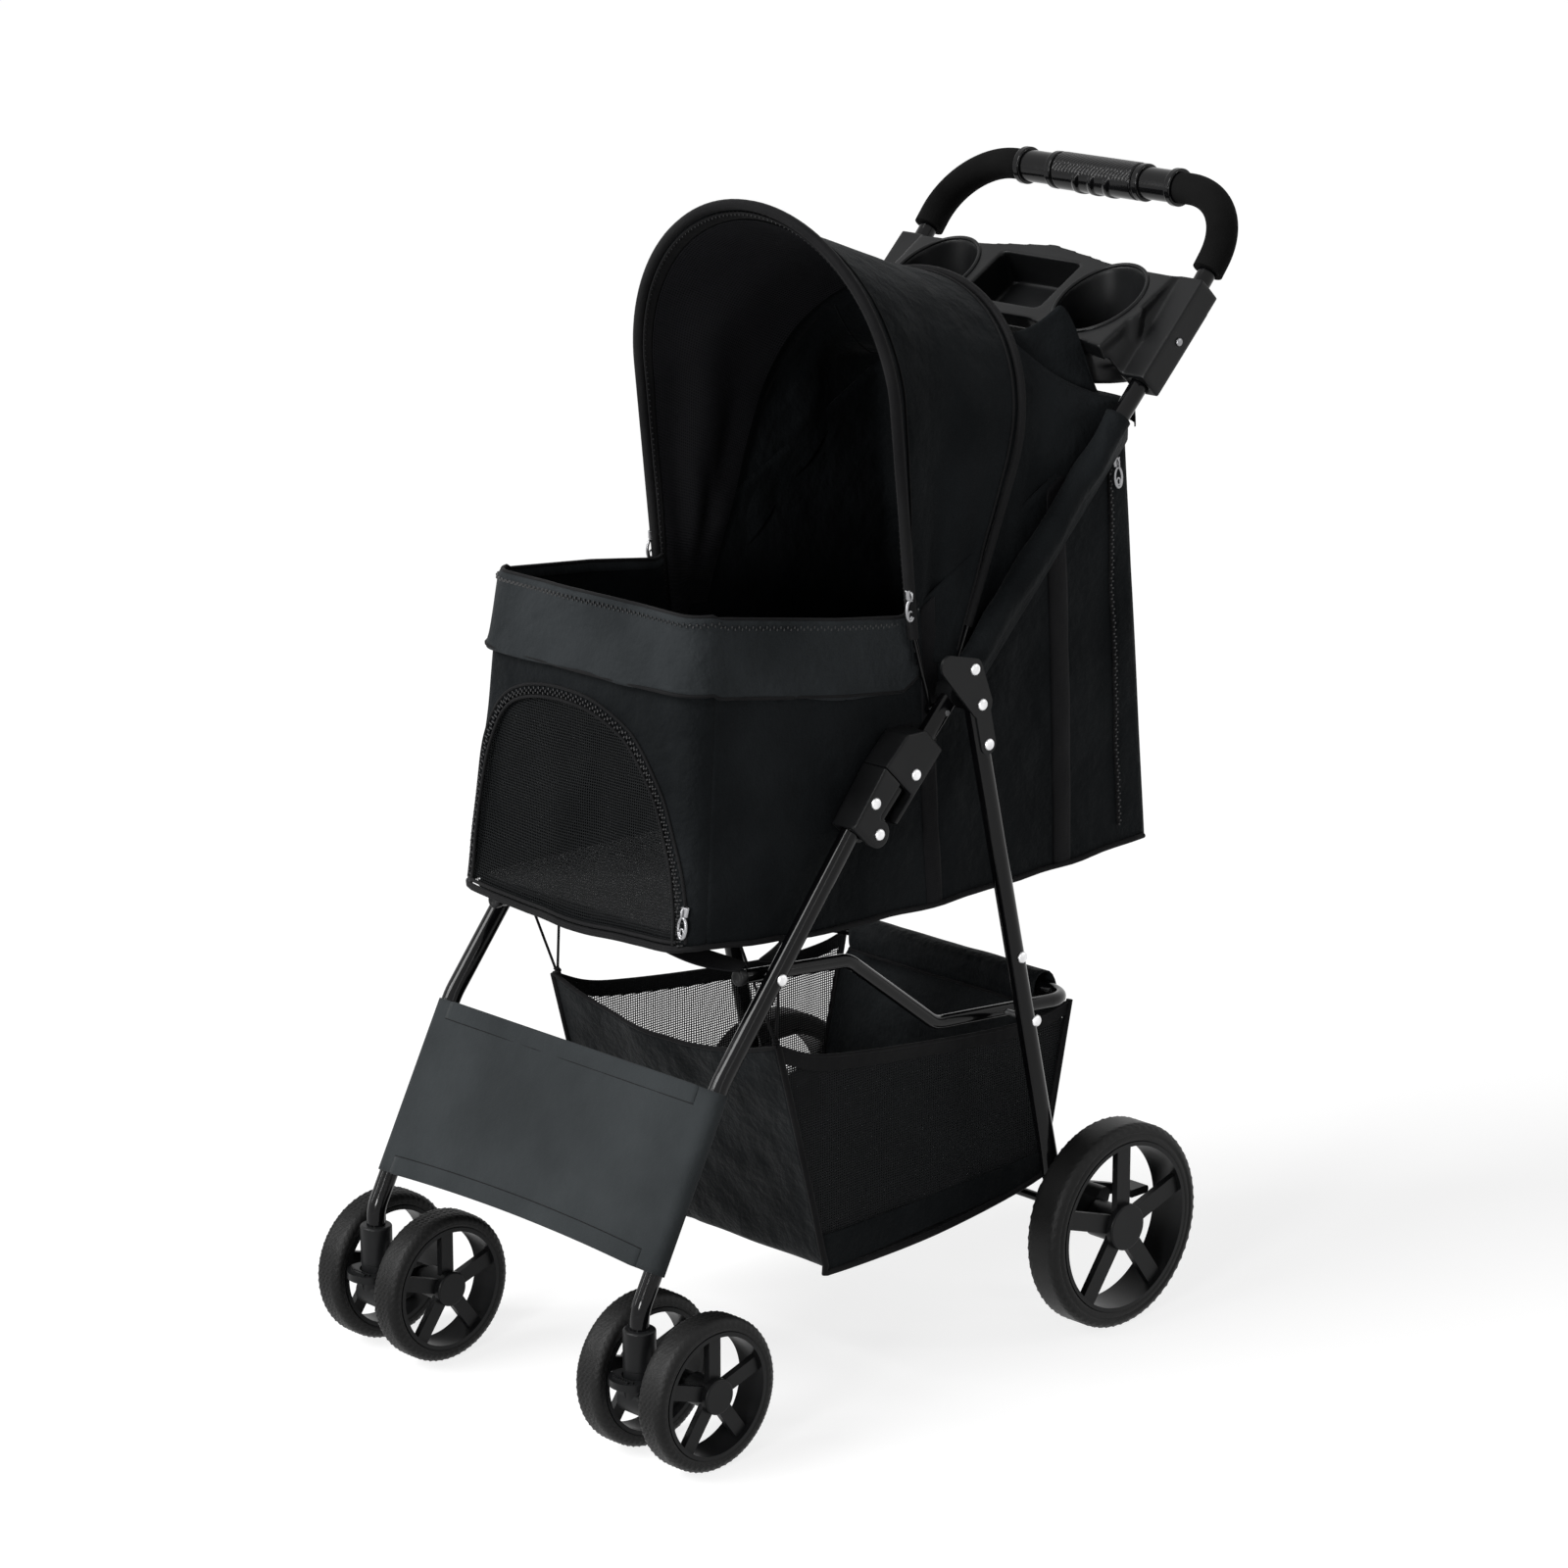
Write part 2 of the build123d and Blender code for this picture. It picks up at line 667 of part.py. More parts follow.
def brake_lever():
    """Foot lever on the inner side of the bracket, with a pin through the bracket's ear."""
    arm_x = rear_leg_x - bracket_half_t - pivot_gap
    pedal_y = brake_pivot[0] + pedal_reach
    with BuildPart() as lever:
        with BuildSketch(side_plane(arm_x, brake_pivot)):
            Circle(brake_boss_r)
            with Locations((pedal_reach - pedal_len / 2, -8.0)):
                Circle(4.5)
            make_hull()
        extrude(amount=-brake_arm_t)
        with BuildSketch(side_plane(arm_x - brake_arm_t, (pedal_y, brake_pivot[1] - 9.0))):
            RectangleRounded(pedal_len, pedal_t, 3.0)
        extrude(amount=pedal_w)
        with BuildSketch(side_plane(arm_x, brake_pivot)):
            Circle(brake_pin_r)
        extrude(amount=2 * bracket_half_t + pivot_gap)
    return lever.part


save_pair(brake_lever(), "brake_lever")

leg_face = rear_leg_x + tube_r
rear_rivet_solids = [
    rivet(leg_pivot, bar_x + 1.4, cover_x + cover_t),
    rivet(hood_rivet, leg_face - 4.0, cover_x + cover_t),
    rivet(lower_rivet, rear_leg_x - tube_r, cover_x + cover_t),
    rivet(knob, rear_leg_x - tube_r, leg_face),
    rivet(bar_rear_pivot, bar_x + bar_r + pivot_gap, leg_face),
]
rear_rivet_solids = rear_rivet_solids + [mirrored(pin) for pin in rear_rivet_solids]
save(Compound(children=rear_rivet_solids), "rear_rivets")

# ---------------------------------------------------------------- handle
handle_corner = (grip_y, grip_z)
foam_past_kink = 8.0
foam_from_x = grip_len / 2 + collar_len + cloth_gap
foam_bore_r = tube_r + slip_gap
collar_d = 28.0
collar_lip_d = 33.0
collar_lip = 7.0
tray_screw_s = 500.0
saddle_r = 10.5
saddle_pin_r = 7.5
saddle_x_in = 150.5 + 4.0
saddle_x_out = leg_x + tube_r + 0.4

bow_pivot = on_handle(bow_pivot_s, 0.0)
tray_screw = on_handle(tray_screw_s, 0.0)
kink_way = run(handle_kink, handle_corner)
foam_end = along(handle_kink, kink_way, foam_past_kink)


def handle():
    """One steel tube bent into the push handle, with rounded ends on the lock pivots."""
    corners = [
        at(leg_x, on_handle(-handle_end_r, 0.0)),
        at(leg_x, handle_kink),
        at(leg_x, handle_corner),
        at(-leg_x, handle_corner),
        at(-leg_x, handle_kink),
        at(-leg_x, on_handle(-handle_end_r, 0.0)),
    ]
    radii = [handle_kink_r, handle_corner_r, handle_corner_r, handle_kink_r]
    tube = swept_tube(corners, radii, tube_d, tube_wall)
    end_block = [on_handle(0, -12), on_handle(0, 12), on_handle(-14, 12), on_handle(-14, -12)]
    with BuildPart() as ended:
        add(tube)
        for x in (leg_x, -leg_x):
            with BuildSketch(side_plane(x - tube_r - 1.0, lock_pivot)):
                with BuildLine():
                    Polyline(*local(end_block, lock_pivot), close=True)
                make_face()
                Circle(handle_end_r, mode=Mode.SUBTRACT)
            extrude(amount=tube_d + 2.0, mode=Mode.SUBTRACT)
            for hole in (lock_pivot, bow_pivot, leg_pivot, tray_screw):
                with BuildSketch(side_plane(x - tube_d, hole)):
                    Circle(rivet_d / 2 + fit_gap)
                extrude(amount=2 * tube_d, mode=Mode.SUBTRACT)
    return ended.part


def foam_sleeve():
    """Foam sleeve over one corner of the handle."""
    with BuildPart() as foam:
        with BuildLine() as route:
            FilletPolyline(
                at(foam_from_x, handle_corner),
                at(leg_x, handle_corner),
                at(leg_x, foam_end),
                radius=handle_corner_r,
            )
        with BuildSketch(Plane(origin=route.line @ 0, z_dir=route.line % 0)):
            Circle(foam_d / 2)
            Circle(foam_bore_r, mode=Mode.SUBTRACT)
        sweep()
    return foam.part


def grip():
    """Round moulded grip at the middle of the handle."""
    with BuildPart() as body:
        with BuildSketch(side_plane(-grip_len / 2, handle_corner)):
            Circle(grip_d / 2)
        extrude(amount=grip_len)
        fillet(body.edges(), 3.0)
        with BuildSketch(side_plane(-grip_len / 2, handle_corner)):
            Circle(foam_bore_r)
        extrude(amount=grip_len, mode=Mode.SUBTRACT)
    return body.part


def grip_collar():
    """Stepped end sleeve of the grip, wider at its two ends."""
    x_in = grip_len / 2 + cloth_gap
    x_out = grip_len / 2 + collar_len
    with BuildPart() as collar:
        with BuildSketch(side_plane(x_in, handle_corner)):
            Circle(collar_d / 2)
        extrude(amount=x_out - x_in)
        for x_lip in (x_in, x_out - collar_lip):
            with BuildSketch(side_plane(x_lip, handle_corner)):
                Circle(collar_lip_d / 2)
            extrude(amount=collar_lip)
        fillet(collar.edges().filter_by(GeomType.CIRCLE).group_by(SortBy.RADIUS)[-1], 1.5)
        with BuildSketch(side_plane(x_in, handle_corner)):
            Circle(foam_bore_r)
        extrude(amount=x_out - x_in, mode=Mode.SUBTRACT)
    return collar.part


def pivot_saddle():
    """Moulded saddle on the handle tube that takes the rear leg's pivot rivet."""
    on_tube = on_handle(hypot(leg_pivot[0] - lock_pivot[0], leg_pivot[1] - lock_pivot[1]), 0.0)
    with BuildPart() as saddle:
        with BuildSketch(side_plane(saddle_x_in, leg_pivot)):
            with Locations((on_tube[0] - leg_pivot[0], on_tube[1] - leg_pivot[1])):
                Circle(saddle_r)
            Circle(saddle_pin_r)
            make_hull()
        extrude(amount=saddle_x_out - saddle_x_in)
        bore = Plane(origin=at(leg_x, on_handle(60.0, 0.0)), z_dir=(0, *handle_way))
        with BuildSketch(bore):
            Circle(tube_r + fit_gap)
        extrude(amount=160.0, mode=Mode.SUBTRACT)
        with BuildSketch(side_plane(saddle_x_in - 1.0, leg_pivot)):
            Circle(rivet_d / 2 + fit_gap)
        extrude(amount=saddle_x_out - saddle_x_in + 2.0, mode=Mode.SUBTRACT)
    return saddle.part


save(handle(), "handle_tube")
save_pair(foam_sleeve(), "foam_sleeve")
save(grip(), "centre_grip")
collar = grip_collar()
save(Compound(children=[collar, mirrored(collar)]), "grip_collars")
saddle = pivot_saddle()
save(Compound(children=[saddle, mirrored(saddle)]), "pivot_saddles")


def latch():
    """Sliding sleeve on the handle tube that closes over the top of the lock base."""
    foot_s = base_top_s + latch_gap
    corners = [
        on_handle(foot_s, -leg_offset(base_top_s) - base_front),
        on_handle(latch_top_s - 14.0, -leg_offset(base_top_s) - base_front + 2.0),
        on_handle(latch_top_s, -tube_r - 8.0),
        on_handle(latch_top_s, latch_back),
        on_handle(latch_skirt_s, latch_back),
        on_handle(latch_skirt_s, tube_r + latch_gap),
        on_handle(foot_s, tube_r + latch_gap),
    ]
    with BuildPart() as sleeve:
        with BuildSketch(side_plane(leg_x - base_half_t, lock_pivot)):
            with BuildLine():
                Polyline(*local(corners, lock_pivot), close=True)
            make_face()
        extrude(amount=2 * base_half_t)
        long_edges = sleeve.edges().filter_by(GeomType.LINE).filter_by(Axis.X, reverse=True)
        fillet(long_edges.group_by(SortBy.LENGTH)[-1], 3.0)
        bore = Plane(origin=at(leg_x, on_handle(0.0, 0.0)), z_dir=(0, *handle_way))
        with BuildSketch(bore):
            Circle(tube_r + fit_gap)
        extrude(amount=latch_top_s + 10.0, mode=Mode.SUBTRACT)
        with BuildSketch(side_plane(leg_x + tube_r + 0.4, latch_rivet)):
            Circle(rivet_d / 2 + fit_gap)
        extrude(amount=base_half_t, mode=Mode.SUBTRACT)
    return sleeve.part


save_pair(latch(), "latch")
latch_pin = rivet(latch_rivet, leg_x + tube_r + 0.6, leg_x + base_half_t)
save_pair(latch_pin, "latch_rivet")

# ---------------------------------------------------------------- parent tray
tray_way = (cos(radians(tray_tilt)), sin(radians(tray_tilt)))
tray_top = Plane(origin=at(0, tray_mid), x_dir=(1, 0, 0), z_dir=(0, -tray_way[1], tray_way[0]))
tray_rear_side = (150.0, 28.0)
tray_rear_mid = (80.0, 30.0)
tray_rear_peak = (0.0, 43.0)
tray_front_side = (144.0, -72.0)
tray_front_mid = (100.0, -64.0)
tray_front_in = (45.0, -52.0)
shoulder_x = 141.0
cheek_x_in = 150.5
cup_floor = 3.0
cup_rise = 34.0                   # the cup's wall runs this far up, before the sloping top cuts it
web_depth = 50.0                  # moulded web from each cup out to its cheek
web_x = 143.0
web_y = 238.0
web_r = 9.0
cup_y = tray_mid[0] + cup_u * tray_way[0]
cup_z = tray_mid[1] + cup_u * tray_way[1]


def on_tray(u, w):
    """Side-view point at u along the tray's slope and w above its top face."""
    return (tray_mid[0] + u * tray_way[0] - w * tray_way[1], tray_mid[1] + u * tray_way[1] + w * tray_way[0])


def tray_outline():
    """Corner points of the tray's top, from the left front round to the right front."""
    half = [tray_front_side, tray_rear_side, tray_rear_mid, tray_rear_peak]
    other = [(-p[0], p[1]) for p in reversed(half[:-1])]
    front = [(-tray_front_mid[0], tray_front_mid[1]), (-tray_front_in[0], tray_front_in[1])]
    return half + other + front + [(-p[0], p[1]) for p in reversed(front)]


def tray():
    """Moulded parent tray: sloping top with a skirt, two cups, a box and two cheeks on the tube."""
    cheek_box = [
        on_handle(cheek_start, -cheek_h / 2),
        on_handle(cheek_start + cheek_len, -cheek_h / 2),
        on_handle(cheek_start + cheek_len, cheek_h / 2),
        on_handle(cheek_start, cheek_h / 2),
    ]
    shoulder_in = [on_tray(-68, 0), on_tray(26, 0), on_tray(26, -12), on_tray(-68, -12)]
    shoulder_out = [
        on_handle(cheek_start, -cheek_h / 2),
        on_handle(cheek_start + cheek_len, -cheek_h / 2),
        on_handle(cheek_start + cheek_len, -cheek_h / 2 + 12.0),
        on_handle(cheek_start, -cheek_h / 2 + 12.0),
    ]
    with BuildPart() as body:
        with BuildSketch(tray_top) as top:
            with BuildLine():
                Polyline(*tray_outline(), close=True)
            make_face()
        extrude(amount=-tray_skirt)
        with BuildSketch(tray_top.offset(-tray_t)):
            add(top.sketch_local)
            offset(amount=-tray_t, mode=Mode.REPLACE)
        extrude(amount=-tray_skirt, mode=Mode.SUBTRACT)
        for side in (-1, 1):
            with BuildSketch(side_plane(side * shoulder_x)):
                with BuildLine():
                    Polyline(*shoulder_in, close=True)
                make_face()
            with BuildSketch(side_plane(side * (cheek_x_in + 1.0))):
                with BuildLine():
                    Polyline(*shoulder_out, close=True)
                make_face()
            loft(ruled=True)
            with BuildSketch(side_plane(side * cheek_x_in)):
                with BuildLine():
                    Polyline(*cheek_box, close=True)
                make_face()
            extrude(amount=side * cheek_w)
            with BuildSketch(Plane.XY.offset(cup_z - cup_depth)):
                with Locations((side * cup_x, cup_y)):
                    Circle(cup_d / 2 + cup_wall)
            extrude(amount=cup_depth + cup_rise)
            with BuildSketch(Plane.XY.offset(cup_z - web_depth)):
                with Locations((side * cup_x, cup_y)):
                    Circle(cup_d / 2 + cup_wall)
                with Locations((side * web_x, web_y)):
                    Circle(web_r)
                make_hull()
            extrude(amount=web_depth + cup_rise)
        box_mid = (box_front_u + box_back_u) / 2
        box_len = box_back_u - box_front_u
        with BuildSketch(tray_top):
            with Locations((0, box_mid)):
                RectangleRounded(2 * (box_half_w + cup_wall), box_len + 2 * cup_wall, 8.0)
        extrude(amount=-box_depth)
        with BuildSketch(tray_top):
            with Locations((0, box_mid)):
                Rectangle(4 * leg_x, 4 * leg_x)
        extrude(amount=4 * box_depth, mode=Mode.SUBTRACT)
        with BuildSketch(tray_top):
            with Locations((0, box_mid)):
                RectangleRounded(2 * box_half_w, box_len, 6.0)
        extrude(amount=-(box_depth - cup_wall), mode=Mode.SUBTRACT)
        for side in (-1, 1):
            with BuildSketch(Plane.XY.offset(cup_z - cup_depth + cup_floor)):
                with Locations((side * cup_x, cup_y)):
                    Circle(cup_d / 2)
            extrude(amount=2 * cup_depth, mode=Mode.SUBTRACT)
            bore = Plane(origin=at(side * leg_x, on_handle(cheek_start - 20.0, 0.0)), z_dir=(0, *handle_way))
            with BuildSketch(bore):
                Circle(tube_r + fit_gap)
            extrude(amount=cheek_len + 40.0, mode=Mode.SUBTRACT)
            with BuildSketch(side_plane(side * leg_x, tray_screw)):
                Circle(screw_d / 2 + fit_gap)
            extrude(amount=side * cheek_w, mode=Mode.SUBTRACT)
    return body.part


save(tray(), "cup_tray")


def screw(centre, way, shank):
    """Small dome-headed screw; centre is where its head meets the surface."""
    with BuildPart() as part:
        with BuildSketch(Plane(origin=centre, z_dir=way)):
            Circle(screw_head_d / 2)
        extrude(amount=screw_head_h)
        fillet(part.faces().sort_by(Axis(centre, way))[-1].edges(), screw_head_h * 0.8)
        with BuildSketch(Plane(origin=centre, z_dir=way)):
            Circle(screw_d / 2)
        extrude(amount=-shank)
    return part.part


cheek_face = cheek_x_in + cheek_w
side_screw = screw(at(cheek_face, tray_screw), (1, 0, 0), cheek_face - leg_x - tube_r + 6.0)
with BuildPart() as bow_pin:
    with BuildSketch(side_plane(bow_half_w - bow_d / 2 + 0.2, bow_pivot)):
        Circle(rivet_d / 2)
    extrude(amount=leg_x + tube_r - bow_half_w + bow_d / 2)
fasteners = [side_screw, bow_pin.part]
save(Compound(children=fasteners + [mirrored(piece) for piece in fasteners]), "handle_screws")

# ---------------------------------------------------------------- storage bar and basket
nose_way = run(bar_crest, bar_pivot)
bar_nose = along(bar_pivot, nose_way, bar_nose_len)
half_bar = [at(bar_x, point) for point in (bar_nose, bar_crest, bar_dip, bar_back)]
other_bar = [(-p[0], p[1], p[2]) for p in reversed(half_bar)]
storage_bar = swept_tube(half_bar + other_bar, bar_bend_r, bar_d, 0)
with BuildPart() as bored_bar:
    add(storage_bar)
    for x in (-bar_x, bar_x):
        with BuildSketch(side_plane(x - bar_r - 1.0, bar_pivot)):
            Circle(rivet_d / 2 + fit_gap)
        extrude(amount=bar_d + 2.0, mode=Mode.SUBTRACT)
save(bored_bar.part, "storage_bar")


def basket():
    """Open-topped cloth basket inside the bar, its rear wall folded forward over the bar."""
    rear_way = run(basket_back_foot, basket_back_top)
    front_way = run(basket_front_foot, basket_front_top)
    flap_top = basket_back_top[1]
    flap_front = bar_back[0] - bar_r - basket_wall
    shoulder = (basket_back_top[0] - 4 * basket_wall, basket_hem[1][1] + 1.0)
    outline = [basket_front_top, basket_front_foot, basket_back_foot, basket_back_top]
    outline = outline + [(shoulder[0], flap_top), shoulder, basket_hem[1], basket_hem[0]]
    cavity = [along(basket_front_top, front_way, 80.0), basket_front_foot, basket_back_foot]
    cavity = cavity + [along(basket_back_top, rear_way, 80.0)]
    with BuildPart() as part:
        with BuildSketch(side_plane(-basket_half_w)):
            with BuildLine():
                Polyline(*outline, close=True)
            make_face()
        extrude(amount=2 * basket_half_w)
        with BuildSketch(side_plane(-basket_half_w + basket_wall)):
            with BuildLine():
                Polyline(*cavity, close=True)
            make_face()
            offset(amount=-basket_wall, kind=Kind.INTERSECTION, mode=Mode.REPLACE)
        extrude(amount=2 * (basket_half_w - basket_wall), mode=Mode.SUBTRACT)
        with BuildSketch(side_plane(-basket_flap_half_w)):
            with Locations(((flap_front + basket_back_top[0]) / 2, flap_top - basket_wall / 2)):
                Rectangle(basket_back_top[0] - flap_front, basket_wall)
            with Locations((flap_front, flap_top - basket_flap_drop / 2)):
                Rectangle(basket_wall, basket_flap_drop)
        extrude(amount=2 * basket_flap_half_w)
    return part.part


save(basket(), "storage_basket")

# ---------------------------------------------------------------- cabin
seam_inset = 1.5
mat_t = 5.0
mat_len = 510.0
mat_from_front = 14.0
door_corner_r = 78.0
door_gap = 0.4
door_hem_r = 2.2
pull_w = 8.0
pull_len = 26.0
pull_t = 2.4
pull_gap = 0.6
pull_hole_r = 2.0
door_pull_x = 134.6
door_pull_v = 22.0                # along the front face, from its foot to the pull's middle
rear_pull = (214.0, 728.0)

face_way = run(cabin_front_foot, cabin_rim_front)
back_way = run(cabin_back_foot, cabin_back_top)
floor_way = run(cabin_front_foot, cabin_back_foot)
front_face = Plane(origin=at(0, cabin_front_foot), x_dir=(1, 0, 0), z_dir=(0, -face_way[1], face_way[0]))


def cabin_block(outline, half_w, nose_half_w, inset):
    """Side outline carried across the cabin, narrowed in plan towards the front."""
    nose_y = cabin_front_foot[0]
    plan = [
        (nose_half_w, nose_y),
        (half_w, nose_y + cabin_nose_len),
        (half_w, overall_length / 2),
        (-half_w, overall_length / 2),
        (-half_w, nose_y + cabin_nose_len),
        (-nose_half_w, nose_y),
    ]
    with BuildPart() as block:
        with BuildSketch(side_plane(-half_w)):
            with BuildLine():
                Polyline(*outline, close=True)
            make_face()
            if inset:
                offset(amount=-inset, kind=Kind.INTERSECTION, mode=Mode.REPLACE)
        extrude(amount=2 * half_w)
        with BuildSketch(Plane.XY):
            with BuildLine():
                Polyline(*plan, close=True)
            make_face()
        extrude(amount=2 * overall_length, mode=Mode.INTERSECT)
    return block.part


def door_outline(v_low, v_high, half_w, corner_r):
    """Arched outline on the cabin's front face."""
    with BuildSketch() as outline:
        with Locations((0, (v_low + v_high) / 2)):
            Rectangle(2 * half_w, v_high - v_low)
        fillet(outline.vertices().group_by(Axis.Y)[-1], corner_r)
    return outline.sketch


def cabin_shell():
    """Fabric cabin: a floor, four walls and an arched opening in the front face."""
    outline = [cabin_front_foot, cabin_rim_front, cabin_rim_rear, cabin_back_top, cabin_back_foot]
    cavity = [
        cabin_front_foot,
        along(cabin_rim_front, face_way, 260.0),
        along(cabin_back_top, back_way, 160.0),
        cabin_back_foot,
    ]
    outer = cabin_block(outline, cabin_half_w, cabin_nose_half_w, 0)
    inner = cabin_block(cavity, cabin_half_w - cabin_wall, cabin_nose_half_w - cabin_wall, cabin_wall)
    with BuildPart() as shell:
        add(outer)
        add(inner, mode=Mode.SUBTRACT)
        with BuildSketch(front_face.offset(10.0)):
            add(door_outline(door_foot, door_foot + door_h, door_half_w, door_corner_r))
        extrude(amount=-20.0, mode=Mode.SUBTRACT)
    return shell.part


save(cabin_shell(), "cabin_shell")

mat_plane = Plane(origin=at(0, cabin_front_foot), x_dir=(1, 0, 0), z_dir=(0, -floor_way[1], floor_way[0]))
mat_half_w = cabin_nose_half_w - cabin_wall - 2.0
with BuildPart() as mat:
    with BuildSketch(mat_plane.offset(cabin_wall + cloth_gap)):
        with Locations((0, mat_from_front + mat_len / 2)):
            RectangleRounded(2 * mat_half_w, mat_len, 12.0)
    extrude(amount=mat_t)
save(mat.part, "floor_mat")

door_v = door_foot + door_gap
door_top_v = door_foot + door_h - door_gap
with BuildPart() as door:
    with BuildSketch(front_face.offset(-seam_inset + door_t / 2)):
        add(door_outline(door_v, door_top_v, door_half_w - door_gap, door_corner_r - door_gap))
    extrude(amount=-door_t)
    hem = along(cabin_front_foot, face_way, door_v + door_hem_r)
    hem_at = beside(hem, face_way, seam_inset)
    with BuildSketch(side_plane(-door_half_w + door_gap, hem_at)):
        Circle(door_hem_r)
    extrude(amount=2 * (door_half_w - door_gap))
save(door.part, "front_door")


def zip_pull(plane):
    """Flat zip pull with a ring hole, hanging on the plane."""
    with BuildPart() as pull:
        with BuildSketch(plane):
            RectangleRounded(pull_w, pull_len, 3.5)
            with Locations((0, -pull_len / 2 + pull_w / 2)):
                Circle(pull_hole_r, mode=Mode.SUBTRACT)
        extrude(amount=pull_t)
    return pull.part


door_pull_at = along(cabin_front_foot, face_way, door_pull_v)
pull_plane = Plane(origin=at(door_pull_x, door_pull_at), x_dir=(1, 0, 0), z_dir=front_face.z_dir)
save(zip_pull(pull_plane.offset(pull_gap)), "door_zip_pull")
rear_plane = Plane(origin=at(cabin_half_w + pull_gap, rear_pull), x_dir=(0, 1, 0), z_dir=(1, 0, 0))
save(zip_pull(rear_plane), "rear_zip_pull")

# ---------------------------------------------------------------- hood and its bows
hood_corner_r = hood_half_w - 0.8
hood_front_foot = 75.0            # along the front bow's plane, from its pivot line up to the hem
hood_mid_foot = 30.0
hood_drape_y = 203.0
hood_drape_top = 796.0
hood_drape_foot = hood_drape_top - 36.0
hood_rear_y = 228.2
hood_rear_top = 790.5
hood_rear_foot = hood_rear_top - 15.5
drape_corner_r = 6.0
bow_eye_r = 5.0
shank_d = 3.9
shank_lap = 1.5                   # how far the shank runs into the wire
front_bow_root = (-20.0, 549.1)
rear_bow_root = (12.0, 571.0)
bow_clear = bow_d / 2 + bow_gap

front_up = run(front_bow_root, front_bow_top)
rear_up = run(rear_bow_root, rear_bow_top)
front_reach = hypot(front_bow_top[0] - front_bow_root[0], front_bow_top[1] - front_bow_root[1])
rear_reach = hypot(rear_bow_top[0] - rear_bow_root[0], rear_bow_top[1] - rear_bow_root[1])


def arch_section(point, up, foot, top, half_w, corner_r, ahead):
    """Arched cross-section of the hood on a plane across the stroller."""
    plane = Plane(origin=at(0, point), x_dir=(1, 0, 0), z_dir=(0, -up[1], up[0])).offset(ahead)
    with BuildSketch(plane) as section:
        with Locations((0, (foot + top) / 2)):
            Rectangle(2 * half_w, top - foot)
        fillet(section.vertices().group_by(Axis.Y)[-1], corner_r)
    return section.sketch.face()


def hood_block(inset, drop, past):
    """Hood volume over the two bows and down to the rear wall."""
    half_w = hood_half_w - inset
    arch_r = hood_corner_r - inset
    drape_r = drape_corner_r - inset
    front_top = front_reach - bow_clear - inset
    rear_top = rear_reach - bow_clear - inset
    drape_top = hood_drape_top - inset
    end_top = hood_rear_top - inset
    sections = [
        arch_section(front_bow_root, front_up, hood_front_foot - drop, front_top, half_w, arch_r, past),
        arch_section(rear_bow_root, rear_up, hood_mid_foot - drop, rear_top, half_w, arch_r, 0),
        arch_section((hood_drape_y, 0), (0, 1), hood_drape_foot - drop, drape_top, half_w, drape_r, 0),
        arch_section((hood_rear_y, 0), (0, 1), hood_rear_foot - drop, end_top, half_w, drape_r, -past),
    ]
    with BuildPart() as block:
        loft(sections=sections, ruled=True)
    return block.part


outer_hood = hood_block(0, 0, 0)
inner_hood = hood_block(hood_wall, 40.0, 3.0)
with BuildPart() as hood:
    add(outer_hood)
    add(inner_hood, mode=Mode.SUBTRACT)
save(hood.part, "hood_cloth")


def rod(a, b, rod_d):
    """Round rod between two points."""
    way = Vector(*b) - Vector(*a)
    with BuildPart() as part:
        with BuildSketch(Plane(origin=a, z_dir=way.normalized())):
            Circle(rod_d / 2)
        extrude(amount=way.length)
    return part.part


def hood_bow(pivot, foot, top):
    """Steel wire bow: two legs and a half-round arch, with a flattened shank and eye at each end."""
    up = run(foot, top)
    spring = along(top, up, -bow_half_w)
    with BuildPart() as bow:
        with BuildLine() as route:
            Line(at(bow_half_w, foot), at(bow_half_w, spring))
            ThreePointArc(at(bow_half_w, spring), at(0, top), at(-bow_half_w, spring))
            Line(at(-bow_half_w, spring), at(-bow_half_w, foot))
        with BuildSketch(Plane(origin=route.line @ 0, z_dir=route.line % 0)):
            Circle(bow_d / 2)
        sweep()
        for x in (-bow_half_w, bow_half_w):
            way = Vector(*at(x, foot)) - Vector(*at(x, pivot))
            with BuildSketch(Plane(origin=at(x, pivot), z_dir=way.normalized())):
                Circle(shank_d / 2)
            extrude(amount=way.length + shank_lap)
            with BuildSketch(side_plane(x - bow_d / 2, pivot)):
                Circle(bow_eye_r)
            extrude(amount=bow_d)
        for x in (-bow_half_w, bow_half_w):
            with BuildSketch(side_plane(x - bow_d, pivot)):
                Circle(rivet_d / 2 + fit_gap)
            extrude(amount=2 * bow_d, mode=Mode.SUBTRACT)
    return bow.part


save(hood_bow(bow_pivot, front_bow_foot, front_bow_top), "hood_front_bow")
save(hood_bow(leg_pivot, rear_bow_foot, rear_bow_top), "hood_rear_bow")

# ---------------------------------------------------------------- straps and cords under the cabin
strap_w = 24.0
strap_t = 1.4
cord_d = 2.4
nose_strap = ((147.0, -214.0, 386.8), (84.0, -250.0, 406.3))
mid_strap = ((146.0, -182.0, 383.8), (100.0, -84.0, 404.6))
cord_foot = (134.0, -164.9, 306.4)
cord_tops = ((134.0, -205.0, 406.5), (134.0, -160.0, 406.5))


def strap(a, b):
    """Flat webbing strap, level across its width, between two points."""
    way = Vector(*b) - Vector(*a)
    across = way.cross(Vector(0, 0, 1)).normalized()
    with BuildPart() as part:
        with BuildSketch(Plane(origin=a, x_dir=across, z_dir=way.normalized())):
            Rectangle(strap_w, strap_t)
        extrude(amount=way.length)
    return part.part


ties = [strap(*nose_strap), strap(*mid_strap)] + [rod(cord_foot, top, cord_d) for top in cord_tops]
save(Compound(children=ties + [mirrored(piece) for piece in ties]), "support_straps")
